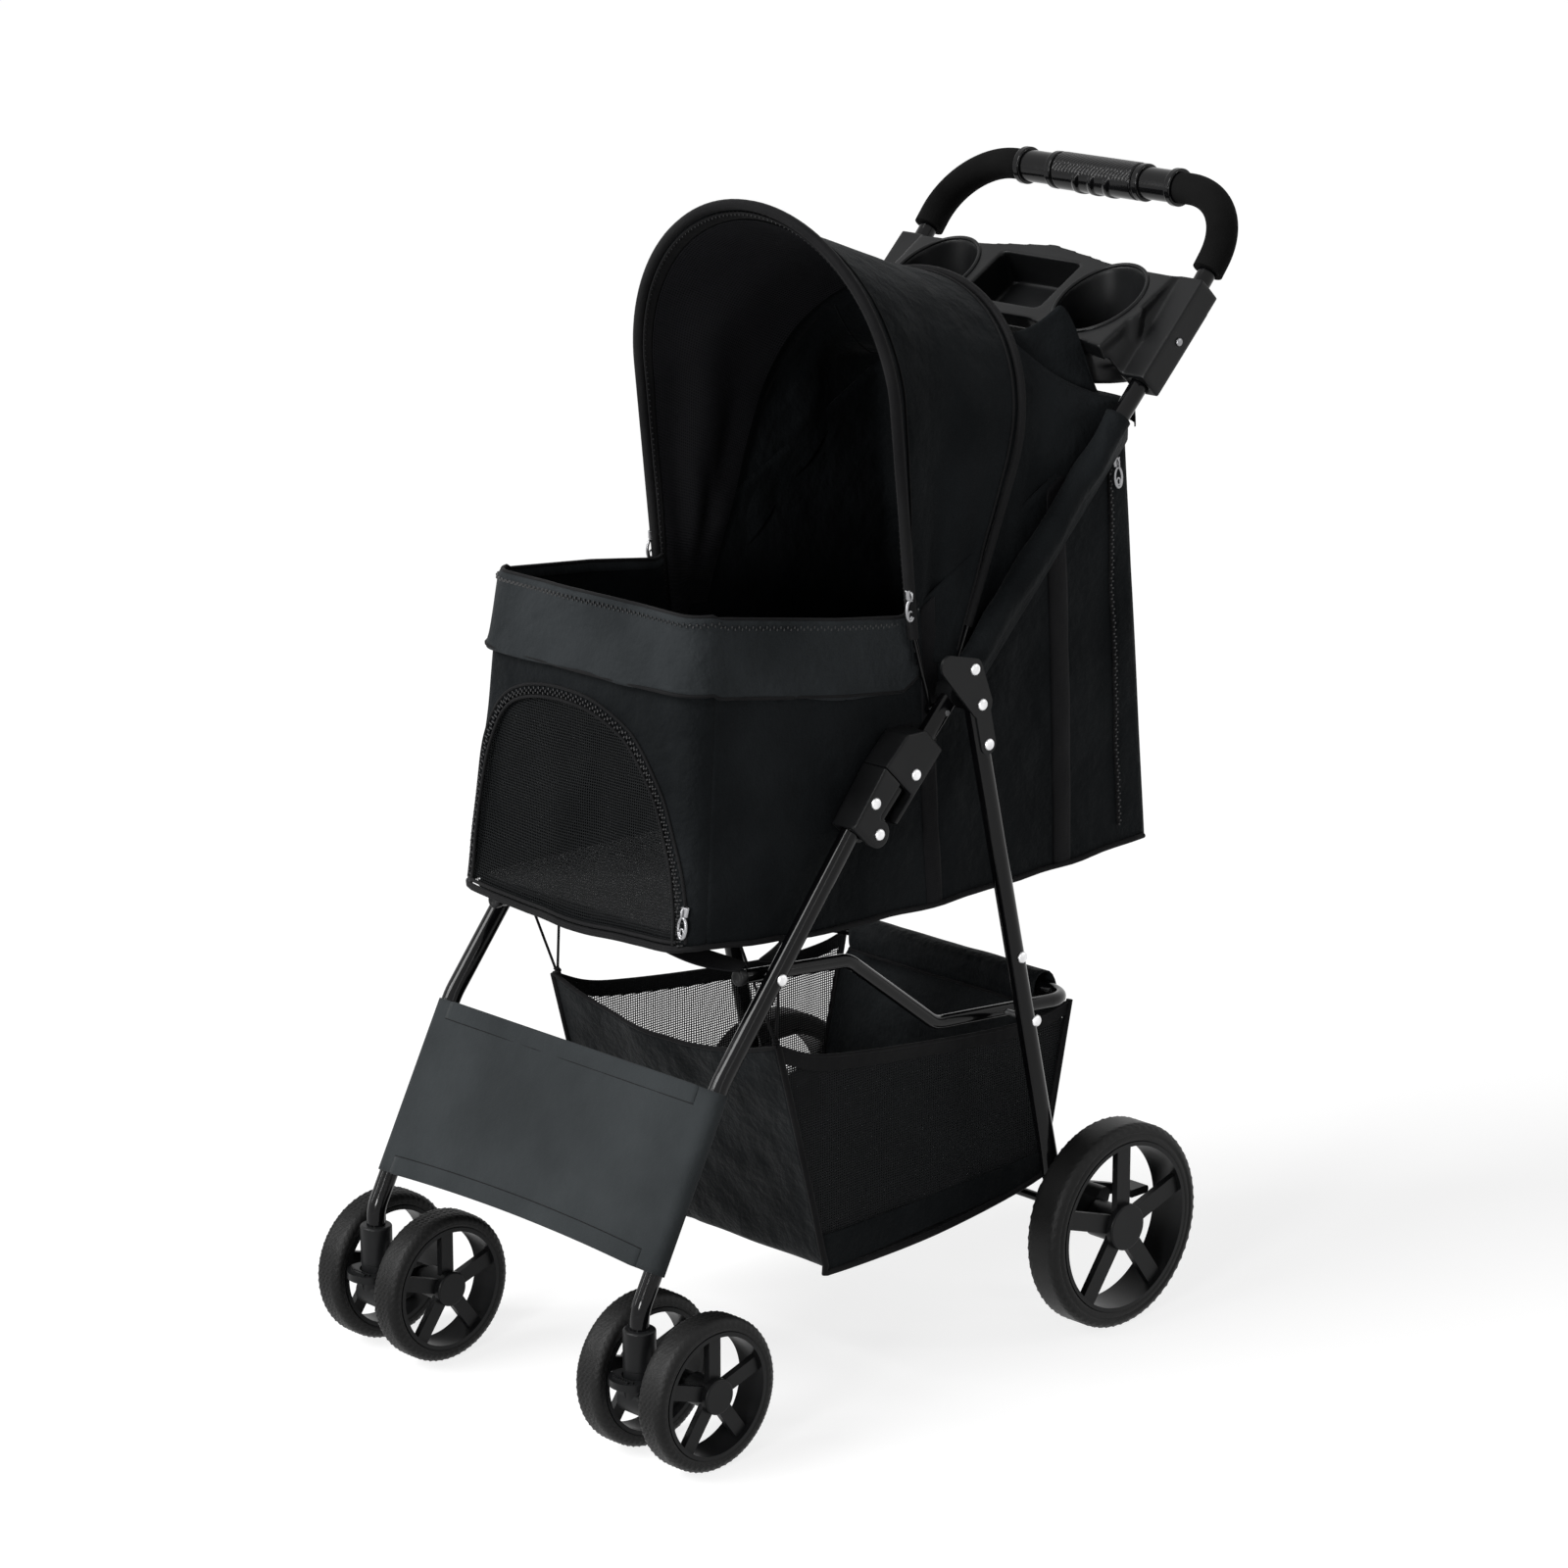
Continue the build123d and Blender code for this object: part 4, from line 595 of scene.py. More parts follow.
def door_panel():
    """Mesh door from its hem up to the arch, with a few soft dents."""
    top = spline(arch, 73)
    rows, uv = [], []
    for t in np.linspace(0, 1, 16):
        line = [(a, 4 + (v - 4) * t) for a, v in top]
        dents = [(5.5 * ripple((a, 9, v * 0.6), 44, 7.0)
                  - 2.5 * crumple((a, 9, v * 0.4), 60, 8.0)) * sin(pi * t) for a, v in line]
        rows.append([face_point(a, v, d - 1.0) for (a, v), d in zip(line, dents)])
        uv.append(line)
    return rows, uv


def wall_station(p, side):
    """Foot and top of the cabin's side wall at share p from front to back."""
    y_foot = side_foot_y + (side_foot_end - side_foot_y) * p
    y_top = side_top_y + (side_top_end - side_top_y) * p
    x_foot = np.interp(y_foot, [side_foot_y, -190], [138.0, cabin_half])
    x_top = np.interp(y_top, [side_top_y, -110], [124.2, cabin_half])
    z_foot = floor_z(y_foot) - bottom_drop(cabin_half, y_foot) * smooth(-262, -200, y_foot)
    z_top = np.interp(y_top, [-240, -36, 232.8], [670, 642, 784])
    return (side * x_foot, y_foot, z_foot), (side * x_top, y_top, z_top)


def side_point(p, t, side, out=0.0):
    """Point on the side wall at share p from front to back and t up from its foot."""
    foot, top = wall_station(p, side)
    x, y, z = (a + (b - a) * t for a, b in zip(foot, top))
    ease = sin(pi * t) ** 0.7 if 0 < t < 1 else 0.0
    folds = 3.0 * ripple((0, y, z * 0.45), 55, 11.0 + side) + 1.1 * ripple((0, y, z), 24, 5.0 + side)
    folds -= 2.4 * crumple((0, y, z * 0.5), 75, 15.0 + side)
    pinch = -3.0 * np.exp(-((y - 2) / 16.0) ** 2) - 1.8 * np.exp(-((y - 60 - 0.25 * (z - 400)) / 13.0) ** 2)
    ends = smooth(0, 0.04, p) * (1 - smooth(0.97, 1, p))
    return (x + side * ((folds + pinch + 0.8) * ease * ends + out), y, z)


def back_point(q, t, out=0.0):
    """Point on the back wall at share q across it, with rounded corners."""
    half = cabin_half
    a = -half + 2 * half * q
    turn = max(abs(a) - (half - cabin_back_r), 0) / cabin_back_r
    foot, top = (cabin_back_foot[0] - 1, cabin_back_foot[1]), cabin_back_top
    y = foot[0] + (top[0] - foot[0]) * t - 5.0 * turn ** 2
    z = foot[1] + (top[1] - foot[1]) * t
    bulge = 4.0 * cos(pi / 2 * a / half) * sin(pi * min(max(t, 0), 1)) + 1.6 * ripple((a, 0, z), 70, 21.0)
    return (a, y + (bulge if turn < 0.9 else 0) * (1 - turn) + out, z)


def cabin_walls():
    """Side and back walls as one surface round the back of the cabin."""
    rows = []
    for t in np.linspace(0, 1, 20):
        left = [side_point(p, t, 1) for p in np.linspace(0, 1, 46)]
        back = [back_point(q, t) for q in np.linspace(1, 0, 26)[1:-1]]
        right = [side_point(p, t, -1) for p in np.linspace(1, 0, 46)]
        rows.append(left + back + right)
    return rows


def bottom_path(out=0.0, step=40):
    """Closed line round the cabin's bottom edge."""
    edge_a = face_half + face_corner_r * pi / 2
    front = [face_point(a, 0, out) for a in np.linspace(-edge_a, edge_a, step)]
    left = [side_point(p, 0, 1, out) for p in np.linspace(0.01, 0.99, step)]
    back = [back_point(q, 0, out) for q in np.linspace(1, 0, 20)[1:-1]]
    right = [side_point(p, 0, -1, out) for p in np.linspace(0.99, 0.01, step)]
    return front + left + back + right


def rim_station(share, down, out):
    """Point of the fold-over collar: share runs round the rim, down is from the rim, out from the wall."""
    edge_a = face_half + face_corner_r * pi / 2
    side_len = 202.0
    reach = edge_a + side_len
    a = -reach + 2 * reach * share
    if abs(a) <= edge_a:
        return face_point(a, face_len - down, out)
    side = 1 if a > 0 else -1
    y_top = side_top_y + (abs(a) - edge_a)
    p = (y_top - side_top_y) / (side_top_end - side_top_y)
    foot, top = wall_station(p, side)
    drop = down / (top[2] - foot[2])
    snug = 1 - 0.75 * smooth(-90, -40, y_top)
    return side_point(p, 1 - drop, side, min(out, 3.6) * snug if y_top > -150 else out)


def collar():
    """Fold-over band round the rim, with a flared lower edge."""
    rows = []
    profile = [(6, -2.5), (-0.5, -1.2), (-2, 0.8), (-1, 2.4), (3, 3.4), (12, 3.6), (26, 3.8), (40, 4.2),
               (51, 5.0), (58, 6.2), (61, 6.0), (60, 4.0)]
    for down, out in profile:
        line = []
        for share in np.linspace(0, 1, 110):
            wave = (1.6 * ripple((share * 900, 0, down), 60, 31.0)
                    + 1.4 * crumple((share * 800, 0, down * 2), 60, 33.0)) * smooth(8, 50, down)
            sway = 5.0 * ripple((share * 700, 4, 0), 75, 12.0) * smooth(20, 60, down)
            line.append(rim_station(share, down + sway, out + wave))
        rows.append(line)
    return rows


def floor_grid():
    """Cabin floor cloth, hanging a little between its edges."""
    rows = []
    for t in np.linspace(0, 1, 22):
        y = -262 + 526 * t
        half = np.interp(y, [-262, -247, -190], [128.0, 136.0, 145.5])
        edge_z = floor_z(y, 409.3)
        line = []
        for s in np.linspace(-1, 1, 18):
            sag = bottom_drop(cabin_half, y) * smooth(0.6, 1.0, abs(s))
            front = 8.0 * (1 - s * s) * (1 - smooth(-262, -225, y))
            line.append((half * s, y, edge_z - sag - front - 1.5 * (1 - s * s)))
        rows.append(line)
    return rows


def normals_out(points, centre):
    """Outward directions in plan from a centre point."""
    return [(p[0] - centre[0], (p[1] - centre[1]) * 0.5, 0.0) for p in points]


def arch_line(distance, out):
    """Line round the door's arch, moved outward from it and off the wall."""
    pts = spline(arch, 140)
    way = np.gradient(pts, axis=0)
    way /= np.linalg.norm(way, axis=1)[:, None]
    return [face_point(a, v, out) for a, v in pts + np.column_stack([-way[:, 1], way[:, 0]]) * distance]


def arch_zip(name, distance, out):
    """Zip teeth along the door's arch."""
    line = arch_line(distance, out)
    return zip_teeth(name, line, [(0, -1, 0.1)] * len(line), zip_plastic)


def make_cabin():
    """Cabin walls, floor, collar, bindings and webbing."""
    rows, uv = face_panel()
    front = surface("cabin_front_wall", rows, black_cloth, 1.6, uv=uv)
    walls = surface("cabin_walls", cabin_walls(), black_cloth, 1.6)
    floor = surface("cabin_floor_cloth", floor_grid(), black_cloth, 1.6)
    # the collar's lighter cloth is a painted highlight on the upturned band
    band = surface("cabin_collar", collar(), collar_painted_light_cloth, 1.4)
    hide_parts("cabin_shell")
    for piece in (front, walls, floor, band):
        soft(piece, "handle")
    path = bottom_path(1.4)
    binding = [rope("cabin_bottom_piping", path, 2.3, trim_cloth, closed=True)]
    binding.append(rope("door_arch_tape_outer", arch_line(5.5, 1.2), 1.5, trim_cloth))
    hem = [face_point(a, 2.0, 1.2) for a in np.linspace(-128, 128, 40)]
    binding.append(rope("door_sill", hem, 1.8, trim_cloth))
    rim = [rim_station(s, 59.5, 6.6) for s in np.linspace(0, 1, 130)]
    binding.append(rope("collar_edge", rim, 1.5, trim_cloth))
    top = [rim_station(s, -2.2, 0.4) for s in np.linspace(0, 1, 130)]
    binding.append(rope("rim_piping", top, 1.8, trim_cloth))
    soft(join("cabin_bindings", binding), "handle")
    line = [rim_station(s, 4.0, 4.6) for s in np.linspace(0, 1, 160)]
    teeth = [zip_teeth("rim_zip", line, normals_out(line, (0, -60)), zip_plastic)]
    teeth.append(arch_zip("arch_zip_wall", 1.6, 1.6))
    soft(join("cabin_zip_teeth", teeth), "handle")
    strips = []
    for side in (1, -1):
        for name, foot_y, top_y, wide in (("rear", 157, 143, 22), ("hinge", 4, -8, 18)):
            strips.append(webbing_strip(f"{name}_webbing_{side}", side, foot_y, top_y, wide))
        strips.append(handle_sleeve(side, 152.0, 418.0))
    soft(join("cabin_webbing", strips), "handle")
    rear = []
    for side in (1, -1):
        line = [side_point(0.93 + 0.02 * t, t, side, 1.6) for t in np.linspace(0.97, 0.05, 60)]
        rear.append(rope(f"rear_zip_tape_{side}", line, 1.7, trim_cloth))
        rear.append(zip_teeth(f"rear_zip_{side}", [(x + side * 1.8, y, z) for x, y, z in line],
                              [(side, 0, 0)] * len(line), zip_plastic))
    soft(join("rear_zips", rear), "handle")


def share_at(y, t):
    """Share along the side wall where it stands at y, at height share t."""
    low = (y - side_foot_y) / (side_foot_end - side_foot_y)
    high = (y - side_top_y) / (side_top_end - side_top_y)
    return low + (high - low) * t


def webbing_strip(name, side, foot_y, top_y, wide):
    """Flat webbing sewn up the cabin's side."""
    rows = []
    for t in np.linspace(0.0, 0.985, 26):
        y = foot_y + (top_y - foot_y) * t
        edges = []
        for k in np.linspace(-0.5, 0.5, 5):
            lift = 1.9 if abs(k) < 0.45 else 0.9
            edges.append(side_point(share_at(y + k * wide, t), t, side, lift))
        rows.append(edges)
    return surface(name, rows, webbing, 0.8)


def handle_sleeve(side, start, stop):
    """Cloth sleeve round the handle tube that carries the cabin's top edge."""
    rows = []
    for s in np.linspace(start, stop, 34):
        centre = on_handle(s)
        slack = 1.0 + ripple((s, side * 40, 0), 34, 81.0)
        ring = []
        fit = 9.5 + slack * 0.6
        for k in np.linspace(0, 1, 29):
            r = fit + 2.6 * crumple((s * 0.6 + 60 * k, 50 * k, side * 90), 30, 83.0)
            if k < 0.2:
                f = k / 0.2
                x, n = 148.9 + (leg_x - 0.87 * r - 148.9) * f * f, 32.0 + (0.5 * r - 32.0) * f
            elif k > 0.8:
                f = (k - 0.8) / 0.2
                x, n = leg_x + 0.34 * r + (151.5 - leg_x - 0.34 * r) * f, 0.94 * r + (34.0 - 0.94 * r) * f
            else:
                turn = radians(150 + (k - 0.2) / 0.6 * 280)
                x, n = leg_x + r * cos(turn), r * sin(turn)
            y, z = centre[0] + handle_way[1] * n, centre[1] - handle_way[0] * n
            ring.append((side * x, y, z))
        rows.append(ring)
    return surface(f"handle_sleeve_{side}", rows, black_cloth, 1.2)


def make_door():
    """Mesh door with its bound edge and zip, on the door's own hinge."""
    rows, uv = door_panel()
    panel = surface("door_mesh", rows, door_net, 0.0, uv=uv)
    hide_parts("front_door")
    soft(panel, "door")
    edge = [rope("door_tape", arch_line(-4.5, 1.4), 1.4, trim_cloth),
            rope("door_hem", [face_point(a, 6.5, 1.4) for a in np.linspace(-126, 126, 40)], 1.6, trim_cloth)]
    edge.append(arch_zip("arch_zip_door", -0.6, 1.9))
    soft(join("door_edge", edge), "door")


# ---------------------------------------------------------------- zip pulls


def ring_line(centre, half_w, half_l, axes):
    """Oval ring of points."""
    across, down = (Vector(a) for a in axes)
    c, count = Vector(centre), 28
    return [tuple(c + across * half_w * cos(2 * pi * k / count) + down * half_l * sin(2 * pi * k / count))
            for k in range(count)]


def zip_pull(name, centre, across, down, out):
    """Slider body with a bridge and an oval open tab."""
    c, w, d, n = (Vector(v) for v in (centre, across, down, out))
    pieces = []
    slider = []
    for u in np.linspace(0, 1, 9):
        half = 4.2 - 1.4 * u
        ring = []
        for k in range(12):
            a = 2 * pi * k / 12
            ring.append(tuple(c + w * half * cos(a) + d * (-13 + 8 * u) + n * (0.6 + 1.9 * sin(a))))
        slider.append(ring)
    pieces.append(surface(name + "_slider", slider, zip_metal, 0.8, loop=True))
    bridge = [c + d * (-12) + n * 2, c + d * (-10) + n * 4.2, c + d * (-6) + n * 4.2, c + d * (-4.5) + n * 2]
    pieces.append(rope(name + "_bridge", [tuple(p) for p in bridge], 0.9, zip_metal))
    tab = ring_line(c + d * 4 + n * 2.2, 4.2, 8.6, (w, d))
    pieces.append(rope(name + "_tab", tab, 1.3, zip_metal, closed=True))
    eye = ring_line(c + d * 7.5 + n * 2.2, 2.2, 3.0, (w, d))
    pieces.append(rope(name + "_eye", eye, 0.9, zip_metal, closed=True))
    return join(name, pieces)


def make_pulls():
    """Zip pulls at the door, the rear zip and the hood's edges."""
    pull = zip_pull("door_pull_tab", face_point(131.5, 22, 2.2), (1, 0, 0), (0, -face_way[0], -face_way[1]),
                    (0, -1, 0.1))
    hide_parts("door_zip_pull")
    soft(pull, "door_pull")
    rear = zip_pull("rear_pull_tab", (cabin_half + 3.4, 214, 728), (0, 1, 0), (0, 0.1, -1), (1, 0, 0))
    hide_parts("rear_zip_pull")
    soft(rear, "rear_pull")
    for side, hand in sides:
        hood = zip_pull(f"hood_pull_{hand}", (side * 153.0, -35, 655), (0, 1, 0), (0, 0, -1), (side, 0, 0))
        rigid(hood, "front_bow")


# ---------------------------------------------------------------- hood


def section(root, up, foot, top, spring, half, power, turn):
    """Point of the hood's arched section; turn is 0 at the left hem, 1 at the top, 2 at the right hem."""
    side = 1 if turn <= 1 else -1
    t = turn if turn <= 1 else 2 - turn
    legs = 0.36
    if t < legs:
        x, v = half, foot + (spring - foot) * t / legs
    else:
        angle = (t - legs) / (1 - legs) * pi / 2
        x = half * max(cos(angle), 0) ** power
        v = spring + (top - spring) * sin(angle) ** power
    y, z = along(root, up, v)
    return np.array([side * x, y, z])


def hood_stations(shrink):
    """The hood's control sections from the front bow to the cabin's back."""
    half = hood_half - shrink
    return [
        (front_root, front_up, 54, front_reach - hood_wall_gap - shrink, front_reach - 152, half, 1.0),
        (rear_root, rear_up, 30, rear_reach - hood_wall_gap - shrink, rear_reach - 152, half, 1.0),
        ((203.0, 0.0), (0.0, 1.0), 760, 796 - shrink, 782 - shrink, half, 0.34),
        ((228.2, 0.0), (0.0, 1.0), 775, 790.5 - shrink, 784 - shrink, half, 0.34),
    ]


def hood_point(u, turn, shrink=0.0):
    """Point on the hood: u is 0 at the front bow, 1 at the rear bow, 2 at the drape, 3 at the back."""
    stations = hood_stations(shrink)
    k = min(int(u), 2)
    f = u - k
    a = section(*stations[k], turn)
    b = section(*stations[k + 1], turn)
    p = a + (b - a) * f
    t = turn if turn <= 1 else 2 - turn
    side = 1 if turn <= 1 else -1
    span = sin(pi * f)
    over = smooth(0.45, 1.0, t)
    low = 1 - smooth(0.30, 0.75, t)
    if k == 0:
        p[2] -= 5.0 * span * over
        y, z = p[1] - hood_hinge[0], p[2] - hood_hinge[1]
        spoke = np.arctan2(y, z)
        far = smooth(15, 120, hypot(y, z)) * (1 - smooth(260, 360, hypot(y, z)))
        fold = 0.5 + 0.5 * sin(15 * spoke + 0.9 * ripple((0, y, z), 80, 4 + side))
        crease = crumple((p[0] * 0.3, p[1], p[2] * 0.6), 85, 23.0 + side)
        p[0] -= side * (1.5 + 8.5 * fold * far + 4.0 * crease) * span * (0.35 + 0.65 * low)
        p[2] -= 3.0 * crease * span * over
    elif k == 1:
        p[2] -= 16.0 * span * over
        fold = 0.5 + 0.5 * sin(9 * f + p[2] / 26.0 + side)
        p[0] -= side * (6.0 * fold + 4.0 * crumple((0, p[1], p[2]), 45, 25.0 + side)) * span * low
        p[2] += 3.0 * ripple((p[0], p[1], 0), 60, 14) * span * over
    p[0] += side * 0.8 * ripple((p[0] * 0.3, p[1], p[2]), 35, 9)
    return p


def hood_grid(start, stop, count, shrink=0.0):
    """Rows across the hood between two stations."""
    return [[hood_point(u, turn, shrink) for turn in np.linspace(0, 2, 77)]
            for u in np.linspace(start, stop, count)]


def hood_liner():
    """Mesh lining inside the hood; its lower ends hang loose below the cloth near the front."""
    rows = hood_grid(0.05, 0.90, 15, 6.5)
    for i, row in enumerate(rows):
        hang = 1 - smooth(0.15, 0.55, i / (len(rows) - 1))
        for share, drop, inward in ((0, 30.0, 9.0), (1, 14.0, 5.0)):
            for k, side in ((share, 1), (-1 - share, -1)):
                row[k] = np.asarray(row[k]) + np.array([-side * inward, -3.0, -drop]) * hang
    return rows


def drape_ear(side):
    """Corner of the hood's rear cloth, drawn up to the tray's front edge."""
    tip = np.array([side * 112.0, 184.0, 870.0])
    peak = np.asarray(hood_point(1.9, 0.70 if side > 0 else 1.30))
    rows = []
    for t in np.linspace(0, 1, 9):
        row = []
        for u in np.linspace(1.02, 2.7, 26):
            base = np.asarray(hood_point(u, 0.70 if side > 0 else 1.30))
            pull = (u - 1.02) / 0.88 if u < 1.9 else 1 - smooth(1.9, 2.3, u)
            sway = 3.0 * ripple((u * 60, t * 40, side * 30), 30, 37.0) * sin(pi * t)
            row.append(base + (tip - peak) * pull * t + np.array([side * sway, 0, -2.0 + 2.0 * t]))
        rows.append(row)
    return surface(f"hood_ear_{side}", rows, black_cloth, 1.2)


def swing(obj):
    """Hood fabric with its placement baked into its mesh."""
    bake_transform(obj)


def make_hood():
    """Hood cloth, its mesh lining, piping over both bows and the seams beside them."""
    rows = hood_grid(0, 2.999, 40)
    for back, drop in ((4.0, 2.0), (7.5, 6.0), (8.0, 20.0)):
        rows.append([(p[0], p[1] + back * smooth(770, 782, p[2]), p[2] - drop * smooth(776, 784, p[2]))
                     for p in hood_grid(2.999, 2.999, 1)[0]])
    cover = surface("hood_cover", rows, black_cloth, 1.4)
    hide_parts("hood_cloth")
    lining = surface("hood_lining", hood_liner(), liner_net, 0.0)
    swing(surface("hood_rim_band", hood_grid(0.0, 0.062, 4, 4.0), trim_cloth, 1.4))
    soft(join("hood_ears", [drape_ear(1), drape_ear(-1)]), "handle")
    for piece in (cover, lining):
        swing(piece)
    seams = []
    for u, radius, lift in ((0.055, 1.2, 1.4), (0.10, 0.9, 1.2), (0.955, 1.0, 1.2)):
        line = [hood_point(u, turn) for turn in np.linspace(0.02, 1.98, 120)]
        seams.append(rope(f"hood_seam_{u}", [lifted(p, lift) for p in line], radius, trim_cloth))
    swing(join("hood_seams", seams))
    line = [lifted(hood_point(0.01, turn), -4.0) for turn in np.linspace(0.0, 2.0, 200)]
    zips = zip_teeth("hood_zip", line, [(0, -1, 0)] * len(line), zip_plastic, 2.4, (1.2, 1.8, 1.0))
    swing(join("hood_zip_teeth", [zips]))
    for which, root, up, reach, foot, radius in (("front", front_root, front_up, front_reach, 78, 4.6),
                                                 ("rear", rear_root, rear_up, rear_reach, 60, 3.6)):
        edge = rope(f"hood_{which}_piping", bow_line(root, up, reach, foot), radius, trim_cloth)
        rigid(edge, f"{which}_bow")


def lifted(point, distance):
    """A hood point moved outward from the hood's axis."""
    p = Vector(point)
    out = Vector((p.x, 0, max(p.z - 780, 0)))
    return tuple(p + out.normalized() * distance)


def bow_line(root, up, reach, foot):
    """The wire bow's own line: straight legs and a half-round arch."""
    spring = reach - bow_half
    points = [(bow_half, v) for v in np.linspace(foot, spring, 12)]
    points += [(bow_half * cos(a), spring + bow_half * sin(a)) for a in np.linspace(0, pi, 60)[1:-1]]
    points += [(-bow_half, v) for v in np.linspace(spring, foot, 12)]
    return [(x, *along(root, up, v)) for x, v in points]


# ---------------------------------------------------------------- basket

basket_half = 137.0
# side view (y, z) of the cloth strip: down from its front tip, along the floor, up the back, folded over
basket_path = [(-166, 306), (-152, 254), (-128, 165), (-112, 104), (-104, 97.5), (-80, 97), (20, 100),
               (118, 113), (140, 117), (148, 126), (165, 204), (184, 279), (184, 288), (178, 291),
               (168, 291), (162.5, 286), (161.5, 274), (162, 263)]


def basket_wrap():
    """Front, floor, back and folded-over flap as one strip of cloth."""
    line = spline(basket_path, 64)
    rows = []
    for i, (y, z) in enumerate(line):
        share = i / (len(line) - 1)
        row = []
        for s in np.linspace(-1, 1, 29):
            half = basket_half if share < 0.86 else np.interp(share, [0.86, 0.93], [basket_half, 113.0])
            x = half * s
            inner = 1 - s * s
            top_sag = 24.0 * inner * (1 - smooth(0.0, 0.16, share))
            push = 6.0 * ripple((x, y * 0.5, z * 0.5), 80, 41.0) - 3.0 * crumple((x, 0, z), 80, 44.0)
            push = push * inner
            floor_sag = 5.0 * inner * smooth(0.36, 0.45, share) * (1 - smooth(0.62, 0.7, share))
            row.append((x, y - push * (1 - smooth(0.3, 0.4, share)) + 0.6 * push * smooth(0.72, 0.8, share),
                        z - top_sag - floor_sag))
        rows.append(row)
    return rows


side_hem = spline([(-166, 306), (-128, 290), (-80, 281), (10, 270), (101, 262), (150, 263), (177, 268)], 60)
side_outline = evenly([(-166, 306), (-110, 98), (145, 116), (179, 268)], 400)


def side_edge(share):
    """Top edge of the basket's side: tip, sagging hem, back."""
    return side_hem[int(round(share * (len(side_hem) - 1)))]


def side_foot(share):
    """Point of the basket side's floor edge below a share of its top edge."""
    top = side_edge(share)
    front = np.interp(top[0], [-166, 177], [0, 1])
    front_len, floor_len, back_len = 215.4, 255.6, 155.8
    run = front_len / (front_len + floor_len + back_len)
    stop = (front_len + floor_len) / (front_len + floor_len + back_len)
    return side_outline[int(round((run + (stop - run) * front) * (len(side_outline) - 1)))]


def basket_side(side, low, high, out):
    """Band of the basket's side wall between two height shares."""
    rows, uv = [], []
    for t in np.linspace(low, high, 10):
        row, line = [], []
        for share in np.linspace(0, 1, 44):
            top, foot = side_edge(share), side_foot(share)
            y, z = foot[0] + (top[0] - foot[0]) * t, foot[1] + (top[1] - foot[1]) * t
            dent = 4.0 * ripple((0, y, z), 70, 51.0 + side) + 3.5 * crumple((0, y, z), 70, 54.0)
            dent = dent * sin(pi * min(max(t, 0), 1)) * sin(pi * share)
            row.append((side * (basket_half + out - abs(dent)), y, z))
            line.append((y, z))
        rows.append(row)
        uv.append(line)
    return rows, uv


def make_basket():
    """Storage basket: cloth wrap, mesh sides with bound edges, corner piping."""
    wrap = surface("basket_cloth", basket_wrap(), basket_cloth, 1.5)
    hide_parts("storage_basket")
    pieces = [wrap]
    for side, hand in sides:
        rows, uv = basket_side(side, 0.0, 1.0, 0.0)
        pieces.append(surface(f"basket_mesh_{hand}", rows, basket_net, 0.0, uv=uv))
        rows, uv = basket_side(side, 0.0, 0.16, 1.0)
        low = surface(f"basket_low_band_{hand}", rows, black_cloth, 1.0, uv=uv)
        rows, uv = basket_side(side, 0.93, 1.01, 1.0)
        high = surface(f"basket_hem_{hand}", rows, trim_cloth, 1.4, uv=uv)
        edge = [side_edge(s) for s in np.linspace(0, 1, 60)]
        corner = [(-166, 306), (-152, 254), (-128, 165), (-112, 104), (-104, 97), (20, 100), (140, 117),
                  (150, 135), (180, 270)]
        top = [(side * (basket_half + 1.2), y, z + 0.5) for y, z in edge]
        seam = [(side * (basket_half + 1.0), y, z) for y, z in spline(corner, 90)]
        trims = [rope(f"basket_top_cord_{hand}", top, 1.6, trim_cloth),
                 rope(f"basket_seam_{hand}", seam, 2.9, trim_cloth)]
        pieces.append(join(f"basket_bands_{hand}", [low, high] + trims))
    rows = basket_wrap()
    ends = [rope("basket_front_edge", rows[0], 1.9, trim_cloth),
            rope("basket_flap_edge", rows[-1], 1.6, trim_cloth)]
    pieces.append(join("basket_edges", ends))
    for piece in pieces:
        rigid(piece, "storage")
    return pieces


def storage_squash(pieces):
    """Basket pieces, each with its own copy of its mesh."""
    for piece in pieces:
        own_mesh(piece)


# ---------------------------------------------------------------- foot panel, straps, mat, grip


def foot_panel():
    """Canvas panel over the front legs, wrapped round each leg and hemmed at top and foot."""
    length = (panel_top_z - panel_foot_z) / shin[1]
    start = along(shin_foot, shin, (panel_foot_z - shin_foot[1]) / shin[1])
    r = tube_r + 1.1
    ring = [(leg_x + r * cos(a), r * sin(a)) for a in np.linspace(-pi / 2, pi * 0.86, 14)]
    inner_edge = [(leg_x - 14.0, -r + 1.6), (leg_x - 24.0, -r + 0.9)]
    right_side = ring + inner_edge
    left_side = [(-x, n) for x, n in right_side]
    span = [(x, -r) for x in np.linspace(-leg_x, leg_x, 30)[1:-1]]
    cross = list(reversed(left_side)) + span + right_side
    rows = []
    for t in np.linspace(0, 1, 16):
        row = []
        for x, n in cross:
            inner = max(1 - (x / (leg_x - 6)) ** 2, 0) if n <= -r + 0.01 else 0.0
            dip = 6.0 * inner * (1 - smooth(0.0, 0.9, t)) - 2.0 * inner * smooth(0.7, 1.0, t)
            crease = 2.4 * ripple((x, 0, t * 150), 90, 61.0) + 1.2 * ripple((x, 0, t * 150), 34, 62.0)
            crease = crease * inner ** 0.3
            y, z = along(start, shin, length * t)
            back = n + (crease if inner else 0)
            row.append((x, y + shin[1] * back, z - shin[0] * back + dip * (0.0 if t > 0.99 else 1.0)))
        rows.append(row)
    return rows


